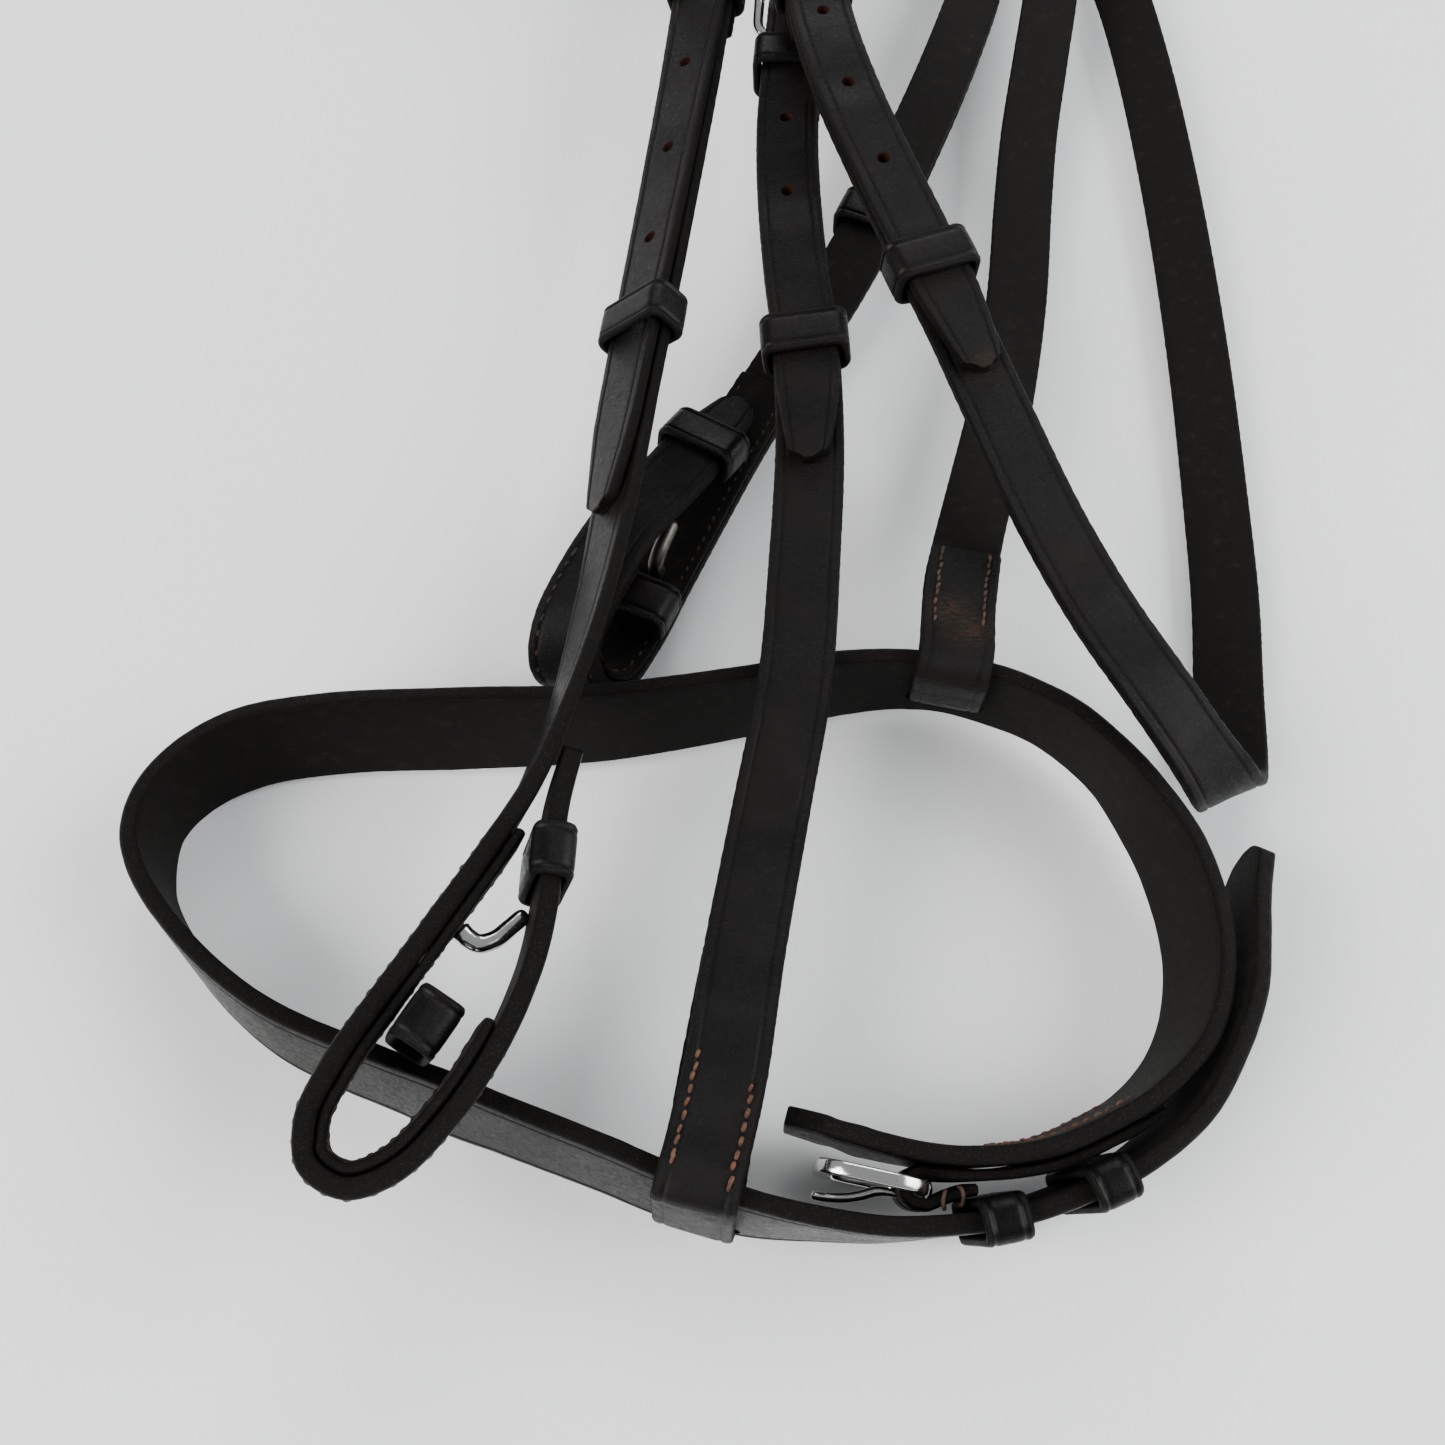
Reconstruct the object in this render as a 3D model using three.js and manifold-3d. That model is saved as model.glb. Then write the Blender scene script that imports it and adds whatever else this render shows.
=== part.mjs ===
// Snaffle bridle of flat dark leather, put down on its right side as after use.
// The cheeks, noseband and throatlash of the left side lie on top, their grain side up. Those of the
// right side lie underneath, their flesh side up. The crown is the bend at the far end (+Y), and the
// noseband stands on its edge at the near end (-Y). The browband side is -X, the throat side is +X.
//
// Millimetres, +Z up. The layout below is drawn from a corner near the noseband, and LAYOUT_CENTRE
// moves the origin to the middle of the footprint on the table.
import * as THREE from "three";
import { mergeVertices } from "three/addons/utils/BufferGeometryUtils.js";
import Module from "manifold-3d";

const wasm = await Module();
wasm.setup();

// ---------------------------------------------------------------- driving dimensions
const LAYOUT_CENTRE = new THREE.Vector3(5, 290.8, -0.2);
const GAP = 0.3; // clearance between pieces that touch

const STRAP_WIDTH = 16; // cheekpieces, noseband cheeks and throatlash, 5/8 inch
const STRAP_THICK = 3.2;
const BILLET_WIDTH = 15.6;
const BILLET_THICK = 2.8;
const LOOP_THICK = 4; // a cheekpiece where it is folded into its bit loop
const LINING_THICK = 2.2;
const WRAP_THICK = 2; // a strap's thinned end where it is sewn round the noseband
const CROWN = { width: 33, thick: 3.1 };
const BROWBAND = { width: 20, thick: 3 };
const NOSEBAND = { width: 25, thick: 3.8 };
const CHAPE_THICK = 2.2;
const CHIN_END = { length: 7, slope: 0.85 }; // the cut corners of the noseband's buckle-side end
const TIP_LENGTH = 26; // the tapered end of a billet
const TIP_NARROWING = 0.42;

const HOLE_WIDTH = 3.4;
const CHEEK_HOLES = [19, 50, 81, 112]; // from the buckle bar down the billet
const THROAT_HOLES = [33, 59, 85, 111];
const NOSEBAND_CHEEK_HOLES = [15, 41, 67];

const KEEPER = { width: 11, thick: 1.9, clearance: 0.45 };
const RUNNER = { width: 11, clearance: 0.7 };
const NOSEBAND_KEEPER = { width: 9, clearance: 0.55 };
const LAP_LENGTH = 34; // how far a strap end is turned back below a buckle
const FIXED_KEEPER_AT = 16; // from the buckle bar
const SETTLED_AT = 8; // where a turned-back end lies on its strap, from the buckle bar
const SKIVE_LENGTH = 10; // the thinned stretch of a strap before it goes round a bar

const BUCKLE = { width: 24, length: 17.5, wire: 3, rise: 6.4, corner: 4 };
const NOSEBAND_BUCKLE = { width: 32, length: 18, wire: 3, rise: 0, corner: 5 };
const TONGUE = { width: 2.4, thick: 2, eyeInner: 1.9, eyeOuter: 3.2 };
const BAR_DROP = STRAP_THICK / 2 + GAP + BUCKLE.wire / 2; // from a strap's middle to the bar below it
const BILLET_RISE = STRAP_THICK / 2 + GAP + BILLET_THICK / 2; // from a strap's middle to its billet

const LEATHER = { color: 0x1c1613, roughness: 0.45, metalness: 0 };
const KEEPER_LEATHER = { color: 0x15110f, roughness: 0.35, metalness: 0 };
const NICKEL = { color: 0xc9ccd0, roughness: 0.2, metalness: 1 };

const LEFT_CHEEK_TIP = 193; // from the buckle bar to the tip of the billet
const RIGHT_CHEEK_TIP = 187;
const THROAT_TIP = 148;
const NOSEBAND_CHEEK_TIP = 147;
const HOOK_STUD = {
  wire: 2.8,
  path: [[-3.6, 0.1], [-3.9, 2], [-3.6, 4.2], [-1.2, 6.2], [2, 7.1], [5, 7.8]],
};
const NOSEBAND_KEEPERS = [["noseband_keeper_near_buckle", 50.6, 45], ["noseband_keeper_far", 70.4, 51.4]];

// ---------------------------------------------------------------- routes of the straps
// A row is the middle of the strap, then the direction across it: [x, y, z, ax, ay, az].
// The grain side is on the left of the direction of travel when "across" points up.

// Noseband: chin pad end, right end, far side, left end, near side, then outside itself again to the
// tip of its buckle end. A row is [x, y, lift of the lower edge, lean in x, lean in y].
const NOSEBAND_PLAN = [
  [12.5, 63.6, 4, 0, -0.1],
  [20, 61.4, 4, 0, -0.14],
  [28, 58.9, 4, 0, -0.14],
  [40, 56.6, 4, 0, -0.16],
  [51, 56.6, 4, 0.01, -0.18],
  [61, 58.2, 4, 0.03, -0.18],
  [71.5, 62.4, 4, 0.04, -0.18],
  [81.5, 68, 4, 0.08, -0.16],
  [92, 79.2, 4, 0.2, -0.08],
  [97.2, 96, 4, 0.21, 0],
  [95.5, 116, 4, 0.17, 0.02],
  [89.5, 131, 4, 0.06, 0],
  [83.3, 141.2, 4, -0.02, -0.04],
  [74.2, 150.4, 4, 0, -0.08],
  [62, 157, 4, 0, -0.08],
  [44, 161.4, 4, 0, -0.08],
  [26, 160.6, 3.8, 0, 0],
  [5, 156.2, 3.4, 0, 0.08],
  [-27, 151.2, 2.8, 0, 0.16],
  [-59, 150.1, 2, 0, 0.23],
  [-86, 149.3, 1.2, 0.02, 0.22],
  [-105, 146, 0.6, 0.02, 0.2],
  [-117, 138.6, 0.2, 0.02, 0.12],
  [-123, 129, 0, 0, 0.04],
  [-122, 116, 0, 0, 0.04],
  [-111, 100, 0.6, 0.02, 0.06],
  [-91.3, 83, 1.4, 0.05, 0.12],
  [-63.5, 70.8, 2.4, 0.05, 0.15],
  [-44.2, 63.3, 3.2, 0.05, 0.15],
  [-21.5, 54.7, 3.8, 0.05, 0.13],
  [-10.8, 50.4, 4, 0.05, 0.12],
  [5.8, 45.9, 4, 0.03, 0.05],
  [17.8, 44.2, 4, 0, -0.04],
  [30.5, 43.2, 4, 0, -0.1],
  [43.7, 44.1, 4, 0, -0.14],
  [55, 46.2, 4, 0.02, -0.17],
  [71, 51.8, 4, 0.04, -0.16],
  [80, 56.6, 4, 0.06, -0.15],
  [89, 64, 4, 0.14, -0.1],
  [96.3, 75, 4, 0.2, -0.06],
  [101.8, 86, 4, 0.21, -0.02],
  [105.3, 98, 4, 0.2, 0],
  [108.5, 108.5, 4, 0.15, 0],
  [113, 119.5, 4, 0.09, 0],
];

// Left cheekpiece: tail tip, round the bit loop and up to its buckle. It stands on edge at the loop
// and rolls towards flat at the buckle.
const LEFT_CHEEK = [
  [-30.4, 132.6, 39, 0.25, -0.2, 0.95],
  [-32.9, 120.6, 38.7, 0.25, -0.2, 0.95],
  [-33.9, 109.6, 38.5, 0.25, -0.2, 0.95],
  [-34.4, 98.6, 38.5, 0.25, -0.2, 0.95],
  [-36.4, 86.6, 38.5, 0.25, -0.2, 0.95],
  [-41.4, 72.6, 38.5, 0.25, -0.2, 0.95],
  [-48.9, 59.6, 38.5, 0.25, -0.2, 0.95],
  [-57.4, 50.1, 38.5, 0.25, -0.2, 0.95],
  [-65.5, 47.1, 38.5, 0.25, -0.2, 0.95],
  [-72.5, 50.6, 38.5, 0.25, -0.2, 0.95],
  [-74.5, 58.6, 38.5, 0.25, -0.2, 0.95],
  [-71, 68.6, 38.5, 0.25, -0.2, 0.95],
  [-63.5, 81.6, 38.5, 0.25, -0.2, 0.95],
  [-55, 95.6, 38.5, 0.25, -0.2, 0.95],
  [-46.2, 110, 38.5, 0.26, -0.14, 0.95],
  [-39.1, 123.4, 38.4, 0.32, -0.06, 0.94],
  [-33, 143, 38.3, 0.4, 0, 0.92],
  [-28, 167, 38.4, 0.52, 0, 0.85],
  [-24, 194, 38.6, 0.62, 0, 0.78],
  [-20.5, 225, 39, 0.7, 0, 0.71],
  [-16.5, 258, 39.4, 0.77, 0, 0.64],
  [-12.5, 291, 40, 0.82, 0, 0.57],
  [-8.5, 325, 41, 0.88, 0, 0.48],
  [-5.4, 355, 42, 0.94, 0, 0.34],
  [-2.8, 382, 42.5, 0.98, 0, 0.2],
];

// Right cheekpiece: the same strap, with its bit loop lying flatter and its tail on top.
const RIGHT_CHEEK = [
  [5, 243, 14.5, -0.9, 0.44, 0],
  [-3, 231, 17, -0.9, 0.44, 0],
  [-13, 214, 21, -0.9, 0.44, 0],
  [-23, 198, 24.5, -0.9, 0.42, -0.04],
  [-30, 183, 25.5, -0.94, 0.32, -0.04],
  [-34.5, 172, 23.5, -0.97, 0.2, 0],
  [-36, 166.5, 17.5, -0.98, 0.14, 0],
  [-34, 165.5, 10.5, -0.98, 0.14, 0],
  [-29, 169, 5.6, -0.97, 0.2, 0],
  [-22, 181, 4.6, -0.94, 0.3, 0],
  [-15, 197, 4.8, -0.93, 0.35, 0],
  [-6, 217, 5.4, -0.92, 0.4, 0],
  [4, 238, 6.6, -0.89, 0.46, 0],
  [15.5, 259, 9, -0.86, 0.5, 0],
  [28, 281, 11, -0.88, 0.46, 0],
  [39, 303, 13, -0.9, 0.42, 0],
  [50, 328, 15, -0.92, 0.38, 0],
  [62, 358, 17, -0.93, 0.36, 0],
  [72, 387, 17, -0.95, 0.3, 0],
  [79, 412, 14, -0.97, 0.22, 0],
  [83.5, 436, 11, -0.99, 0.14, 0],
  [86, 460, 9.6, -1, 0.06, 0],
];

// Left noseband cheek, from the top edge of the noseband's near wall, across the far wall and up to
// its buckle. The end wrapped round the near wall is worked out from the wall.
const LEFT_NOSEBAND_CHEEK = [
  [-2.4, 56.5, 31.4, 0.93, -0.36, 0],
  [0.5, 69, 31, 0.95, -0.31, 0],
  [4.5, 94, 30.8, 0.97, -0.22, 0],
  [10.5, 126, 30.8, 0.98, -0.18, 0],
  [15.5, 153, 31.4, 0.99, -0.14, 0.03],
  [18.5, 186, 32, 0.99, -0.09, 0.08],
  [20.3, 215, 33.5, 0.99, -0.05, 0.12],
  [20, 243, 35.4, 0.99, 0, 0.14],
  [18, 268, 37, 0.99, 0.04, 0.16],
  [17, 290, 38, 0.99, 0.03, 0.16],
  [17, 312, 38.6, 0.99, 0, 0.12],
  [18.4, 334, 38.8, 1, -0.02, 0.06],
  [20, 355, 38.8, 1, -0.03, 0],
];

// Throatlash: right split of the crown, down the right side, round the bend beside the noseband, over
// the noseband's edge and up the left side to its left buckle.
const THROATLASH = [
  [111.8, 493, 5.8, 1, 0, 0],
  [113.5, 478, 6.2, 1, -0.1, 0.04],
  [117.5, 456, 7.6, 0.97, -0.14, 0.18],
  [121.5, 430, 9, 0.9, -0.1, 0.42],
  [124.5, 404, 9.4, 0.86, -0.04, 0.5],
  [126.6, 372, 8.6, 0.88, 0, 0.46],
  [127.6, 338, 7.4, 0.91, 0.02, 0.4],
  [127.6, 303, 6.4, 0.93, 0.02, 0.34],
  [126.4, 262, 5.6, 0.95, 0.02, 0.3],
  [124.2, 224, 5, 0.95, 0.01, 0.3],
  [121.5, 190, 5, 0.95, 0, 0.3],
  [117.8, 164, 5.8, 0.94, 0.05, 0.32],
  [115.2, 148, 7.8, 0.93, 0.18, 0.3],
  [112.4, 138.4, 11.6, 0.92, 0.3, 0.22],
  [109.2, 133.6, 17.6, 0.91, 0.38, 0.12],
  [104.8, 133.2, 24.8, 0.89, 0.45, 0],
  [99.2, 138.2, 30.4, 0.86, 0.5, -0.06],
  [91.6, 150, 34, 0.86, 0.5, -0.04],
  [82, 168, 35.8, 0.88, 0.47, 0],
  [72.2, 190, 39, 0.9, 0.44, 0],
  [63, 216, 42.6, 0.91, 0.4, 0],
  [55, 239, 46, 0.91, 0.4, 0],
  [47, 261, 48.6, 0.92, 0.38, 0],
  [39, 284, 51, 0.93, 0.36, 0],
  [31, 310, 53, 0.95, 0.28, 0],
  [26, 333, 54.2, 0.98, 0.18, 0],
  [24, 350, 54.8, 1, 0.06, 0],
  [24, 368, 54.8, 1, -0.04, 0],
];

// Noseband headstall, from the far wall of the noseband away along the table, over the poll and on to
// its billet on the left side. The end wrapped round the far wall is worked out from the wall.
const HEADSTALL = [
  [53.6, 181, 25, -0.98, 0.18, 0],
  [56.6, 193, 22, -0.98, 0.2, 0],
  [63, 216, 16.5, -0.97, 0.24, 0],
  [71.5, 247, 12.5, -0.97, 0.24, 0],
  [79, 283, 10.5, -0.98, 0.18, 0],
  [84, 318, 11, -0.99, 0.12, 0],
  [88, 344, 12.5, -0.99, 0.12, 0],
  [93.5, 372, 16, -0.98, 0.16, 0],
  [98.5, 398, 20, -0.99, 0.1, 0],
  [101.5, 425, 22.5, -1, 0.04, 0],
  [102.5, 450, 21.5, -1, 0, 0],
  [101.5, 472, 17.4, -1, -0.04, 0],
  [99.5, 494, 12.4, -0.98, -0.14, 0],
  [95.5, 511, 12.6, -0.95, -0.26, 0],
  [93, 519, 19, -0.92, -0.36, 0],
  [88.6, 519, 28, -0.9, -0.42, 0],
  [81, 511, 34.6, -0.88, -0.46, 0],
  [66, 494, 37.6, -0.84, -0.52, 0],
  [47, 469, 38.6, -0.86, -0.5, 0],
  [33, 444, 38.4, -0.92, -0.38, 0],
  [24.5, 420, 38.2, -0.97, -0.24, 0],
  [20.8, 396, 38, -0.99, -0.1, 0],
];

// Crown of the headpiece, from its left split over the poll to its right split.
const CROWN_ROUTE = [
  [17, 432, 43, 0.93, 0.36, 0],
  [30, 459, 43.5, 0.88, 0.46, 0],
  [48, 485, 43.5, 0.84, 0.53, 0],
  [66, 507, 43, 0.85, 0.52, 0],
  [82, 524, 40, 0.88, 0.47, 0],
  [92, 533, 32, 0.92, 0.38, 0],
  [97, 536, 21, 0.95, 0.3, 0],
  [99.5, 531, 10.5, 0.97, 0.22, 0],
  [101.5, 518, 6.6, 0.98, 0.14, 0],
  [103, 502, 6.2, 1, 0.06, 0],
  [103.5, 488, 6.2, 1, 0, 0],
];

// Browband: left end loop round the crown, out over the forehead, back along the table and the right
// end loop round the crown.
const BROWBAND_ROUTE = [
  [-16, 461, 36, 0.42, 0.9, 0],
  [-2, 454.5, 34.2, 0.42, 0.9, 0],
  [20, 444.5, 33.6, 0.42, 0.9, 0],
  [38, 436.5, 34, 0.42, 0.9, 0],
  [46.4, 432.7, 37.2, 0.42, 0.9, 0],
  [47.4, 432.2, 43, 0.42, 0.9, 0],
  [42, 434.7, 47.6, 0.42, 0.9, 0],
  [20, 444.6, 48.4, 0.42, 0.9, 0],
  [2, 452.8, 47.8, 0.42, 0.9, 0],
  [-9, 457.6, 44.6, 0.42, 0.9, 0],
  [-22, 463, 41, 0.36, 0.93, 0],
  [-50, 470, 38.6, 0.16, 0.98, 0],
  [-85, 472, 36, 0, 1, 0],
  [-110, 471, 28, -0.04, 1, 0],
  [-119, 470, 17, -0.04, 1, 0],
  [-110, 470, 6.5, 0, 1, 0],
  [-85, 472, 2.4, 0.04, 1, 0],
  [-30, 482, 1.8, 0.1, 1, 0],
  [30, 491, 1.8, 0.06, 1, 0],
  [70, 494.6, 1.8, 0.03, 1, 0],
  [100, 496, 1.8, 0.02, 1, 0],
  [117, 496.4, 1.8, 0, 1, 0],
  [123.6, 496.6, 4.4, 0, 1, 0],
  [125.2, 496.6, 10, 0, 1, 0],
  [121.5, 496.5, 16.4, 0, 1, 0],
  [112, 496.2, 19.6, 0, 1, 0],
  [98, 496, 19.6, 0, 1, 0],
  [86, 495.6, 18.4, 0, 1, 0],
  [77, 495.2, 14, 0.02, 1, 0],
  [72, 494.8, 8.6, 0.03, 1, 0],
  [65, 494.2, 5.7, 0.03, 1, 0],
  [52, 492.8, 5.3, 0.05, 1, 0],
];

// A strap end sewn to the noseband, as [distance down the wall from its middle, distance out of its
// outer face]. Each goes down the inside of the wall, out through a slot and up the outside. The right
// one first comes over the top.
const LEFT_WRAP = [
  [-8, -4.3],
  [0, -4],
  [6.6, -3.4],
  [8.4, -2],
  [8.8, 0],
  [8.4, 2],
  [6.6, 3.4],
  [2, 3.8],
  [-4, 4],
  [-9.5, 4.2],
  [-13.2, 3.6],
];
const RIGHT_WRAP = [
  [-14.6, 2],
  [-14.3, -2.2],
  [-12, -4],
  [-6, -4.2],
  [-1, -4],
  [2.4, -3.4],
  [4.2, -2],
  [4.6, 0],
  [4.2, 2],
  [2.4, 3.4],
  [-2, 4],
  [-6, 5.2],
];
const WRAP_SLOT = { width: 4.8, length: 17.8, leftDown: 8.2, rightDown: 4 };
const LEFT_WRAP_LAP = [
  [4, 93, 27.8, 0.97, -0.22, 0],
  [0.9, 76, 27.9, 0.95, -0.3, 0],
  [-1.2, 64.5, 27.1, 0.93, -0.36, 0],
];
const RIGHT_WRAP_LAP = [
  [55.8, 189.5, 26.1, -0.98, 0.2, 0],
  [53.8, 180, 28.6, -0.98, 0.18, 0],
  [52.2, 172, 30.4, -0.98, 0.16, 0],
];

// ---------------------------------------------------------------- geometry helpers
const vector = (x, y, z) => new THREE.Vector3(x, y, z);

// A frame on a strap: p its middle, t the direction of travel, a across it, n out of its grain side.
function frame(p, t, across) {
  const a = across.clone().addScaledVector(t, -across.dot(t)).normalize();
  return { p: p.clone(), t: t.clone(), a, n: a.clone().cross(t) };
}

const offset = (f, across, along, out) =>
  f.p.clone().addScaledVector(f.a, across).addScaledVector(f.t, along).addScaledVector(f.n, out);

const backwards = (f) => ({ ...f, t: f.t.clone().negate(), a: f.a.clone().negate() });

const LONGEST_STEP = 10;
const SHORTEST_STEP = 1;
const SHARPEST_TURN = THREE.MathUtils.degToRad(11);

// A smooth route through rows of middle and across direction, read by distance along it.
class Route {
  constructor(rows) {
    this.path = new THREE.CatmullRomCurve3(rows.map(([x, y, z]) => vector(x, y, z)));
    this.across = new THREE.CatmullRomCurve3(rows.map((row) => vector(...row.slice(3))));
    this.path.arcLengthDivisions = rows.length * 12;
    this.length = this.path.getLength();
  }

  at(distance) {
    const u = this.path.getUtoTmapping(0, THREE.MathUtils.clamp(distance, 0, this.length));
    return frame(this.path.getPoint(u), this.path.getTangent(u), this.across.getPoint(u));
  }

  // Distance along the route of the place nearest to a point.
  nearest(point, from = 0, to = this.length) {
    let best = from;
    for (let d = from; d <= to; d += 0.5)
      if (this.at(d).p.distanceTo(point) < this.at(best).p.distanceTo(point)) best = d;
    return best;
  }

  // Frames from one distance to another, moved out of the grain side by "out". They are LONGEST_STEP
  // apart where the strap is straight, and closer where it bends or twists.
  frames(from, to, out = 0) {
    const count = Math.max(1, Math.round(Math.abs(to - from) / SHORTEST_STEP));
    const kept = [];
    for (let i = 0; i <= count; i += 1) {
      const distance = from + ((to - from) * i) / count;
      const f = this.at(distance);
      const last = kept.at(-1);
      const far = !last || Math.abs(distance - last.distance) >= LONGEST_STEP;
      const bent = last && Math.max(f.t.angleTo(last.t), f.n.angleTo(last.n)) > SHARPEST_TURN;
      if (far || bent || i === count) kept.push({ ...f, distance });
    }
    return kept.map((f) => {
      const turned = to < from ? backwards(f) : f;
      return { ...turned, distance: f.distance, p: offset(f, 0, 0, out) };
    });
  }
}

// A closed surface from rings of points, capped at both ends or joined into a loop.
function skin(rings, closed = false) {
  const sides = rings[0].length;
  const index = [];
  const joints = closed ? rings.length : rings.length - 1;
  for (let i = 0; i < joints; i++)
    for (let k = 0; k < sides; k++) {
      const here = i * sides;
      const next = ((i + 1) % rings.length) * sides;
      const l = (k + 1) % sides;
      index.push(here + k, here + l, next + l, here + k, next + l, next + k);
    }
  const last = (rings.length - 1) * sides;
  for (let k = 1; k < sides - 1 && !closed; k++) {
    index.push(0, k + 1, k);
    index.push(last, last + k, last + k + 1);
  }
  return new THREE.BufferGeometry().setFromPoints(rings.flat()).setIndex(index);
}

// A flat strap through frames, which may hold a width or thickness of their own.
function strap(frames, width, thick) {
  const rings = frames.map((f) => {
    const w = (f.width ?? width) / 2;
    const t = (f.thick ?? thick) / 2;
    return [offset(f, -w, 0, -t), offset(f, -w, 0, t), offset(f, w, 0, t), offset(f, w, 0, -t)];
  });
  return skin(rings);
}

// Narrows the first or last frames of a strap to a blunt point.
function tapered(frames, width, length, atStart) {
  const end = atStart ? frames[0].p : frames.at(-1).p;
  return frames.map((f) => {
    const inside = Math.min(1, f.p.distanceTo(end) / length);
    return { ...f, width: width * (1 - TIP_NARROWING * (1 - inside) ** 1.4) };
  });
}

// A round bar through points in one plane, given by its normal, either open or joined into a loop.
function rod(points, normal, radius, sides, closed = false) {
  const last = points.length - 1;
  const before = (i) => points[i > 0 ? i - 1 : closed ? last : 0];
  const after = (i) => points[i < last ? i + 1 : closed ? 0 : last];
  const rings = points.map((middle, i) => {
    const out = after(i).clone().sub(before(i)).cross(normal).normalize();
    return Array.from({ length: sides }, (_, k) => {
      const angle = (2 * Math.PI * (k + 0.5)) / sides;
      return middle
        .clone()
        .addScaledVector(out, radius * Math.cos(angle))
        .addScaledVector(normal, -radius * Math.sin(angle));
    });
  });
  return skin(rings, closed);
}

function solidOf(geometry) {
  const bare = new THREE.BufferGeometry().setAttribute("position", geometry.getAttribute("position"));
  const merged = mergeVertices(bare.setIndex(geometry.index), 1e-4);
  const made = new wasm.Manifold(
    new wasm.Mesh({
      numProp: 3,
      vertProperties: new Float32Array(merged.attributes.position.array),
      triVerts: new Uint32Array(merged.index.array),
    }),
  );
  return made;
}

function geometryOf(solid) {
  const { vertProperties, triVerts } = solid.getMesh();
  return new THREE.BufferGeometry()
    .setAttribute("position", new THREE.BufferAttribute(new Float32Array(vertProperties), 3))
    .setIndex(new THREE.BufferAttribute(new Uint32Array(triVerts), 1));
}

const joined = (pieces) => geometryOf(pieces.map(solidOf).reduce((sum, piece) => sum.add(piece)));
const cut = (piece, tools) =>
  geometryOf(tools.map(solidOf).reduce((sum, tool) => sum.subtract(tool), solidOf(piece)));

// A block in a frame: its size across, along and out of the strap, and where its middle is.
function block(f, across, along, out, at = [0, 0, 0]) {
  const geometry = new THREE.BoxGeometry(across, along, out).translate(...at);
  return geometry.applyMatrix4(matrixOf(f));
}

// X goes across the strap, Y along it and Z out of its grain side.
function matrixOf(f) {
  return new THREE.Matrix4().makeBasis(f.a, f.t, f.n).setPosition(f.p);
}

// A hole through a strap, longer along it than it is wide.
function slot(f, width, length, depth) {
  const outline = new THREE.Shape();
  const r = width / 2;
  const reach = Math.max(0, length / 2 - r);
  outline.absarc(0, reach, r, 0, Math.PI, false);
  outline.absarc(0, -reach, r, Math.PI, 2 * Math.PI, false);
  outline.closePath();
  const settings = { depth, bevelEnabled: false, curveSegments: 3 };
  return new THREE.ExtrudeGeometry(outline, settings)
    .translate(0, 0, -depth / 2)
    .applyMatrix4(matrixOf(f));
}

function roundedOutline(Kind, x0, x1, y0, y1, r) {
  const outline = new Kind();
  outline.absarc(x1 - r, y1 - r, r, 0, Math.PI / 2, false);
  outline.absarc(x0 + r, y1 - r, r, Math.PI / 2, Math.PI, false);
  outline.absarc(x0 + r, y0 + r, r, Math.PI, 1.5 * Math.PI, false);
  outline.absarc(x1 - r, y0 + r, r, 1.5 * Math.PI, 2 * Math.PI, false);
  outline.closePath();
  return outline;
}

// ---------------------------------------------------------------- the model
const bridle = new THREE.Group();
bridle.position.copy(LAYOUT_CENTRE).negate();

function add(name, geometry, finish) {
  const mesh = new THREE.Mesh(geometry, new THREE.MeshStandardMaterial(finish));
  mesh.name = name;
  bridle.add(mesh);
  return mesh;
}

// A leather band round whatever lies between "low" and "high" out of the strap's middle.
function keeper(name, f, low, high, strapWidth = STRAP_WIDTH, { clearance, width } = KEEPER) {
  const half = strapWidth / 2 + clearance;
  const inner = [-half, half, low - clearance, high + clearance];
  const t = KEEPER.thick;
  const band = roundedOutline(THREE.Shape, inner[0] - t, inner[1] + t, inner[2] - t, inner[3] + t, t);
  band.holes.push(roundedOutline(THREE.Path, ...inner, 0.4));
  const settings = { depth: width, bevelEnabled: false, curveSegments: 2 };
  const geometry = new THREE.ExtrudeGeometry(band, settings)
    .translate(0, 0, -width / 2)
    .rotateX(Math.PI / 2);
  return add(name, geometry.applyMatrix4(matrixOf(f)), KEEPER_LEATHER);
}

// A buckle frame whose bar lies "drop" below frame f, reaching along f.t and rising out of the strap.
function buckleFrame(name, f, drop, shape) {
  const c = shape.corner;
  const halfWidth = (shape.width - shape.wire) / 2 - c;
  const corner = (across, along, from) =>
    [0, 1 / 3, 2 / 3, 1].map((share) => {
      const angle = from + (share * Math.PI) / 2;
      return [across + c * Math.cos(angle), along + c * Math.sin(angle)];
    });
  const outline = [
    ...corner(halfWidth, shape.length - c, 0),
    ...corner(-halfWidth, shape.length - c, Math.PI / 2),
    ...corner(-halfWidth, c, Math.PI),
    ...corner(halfWidth, c, 1.5 * Math.PI),
  ];
  const tilt = shape.rise / shape.length;
  const points = outline.map(([across, along]) => offset(f, across, along, along * tilt - drop));
  const normal = f.n.clone().addScaledVector(f.t, -tilt).normalize();
  add(name, rod(points, normal, shape.wire / 2, 8, true), NICKEL);
}

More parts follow.
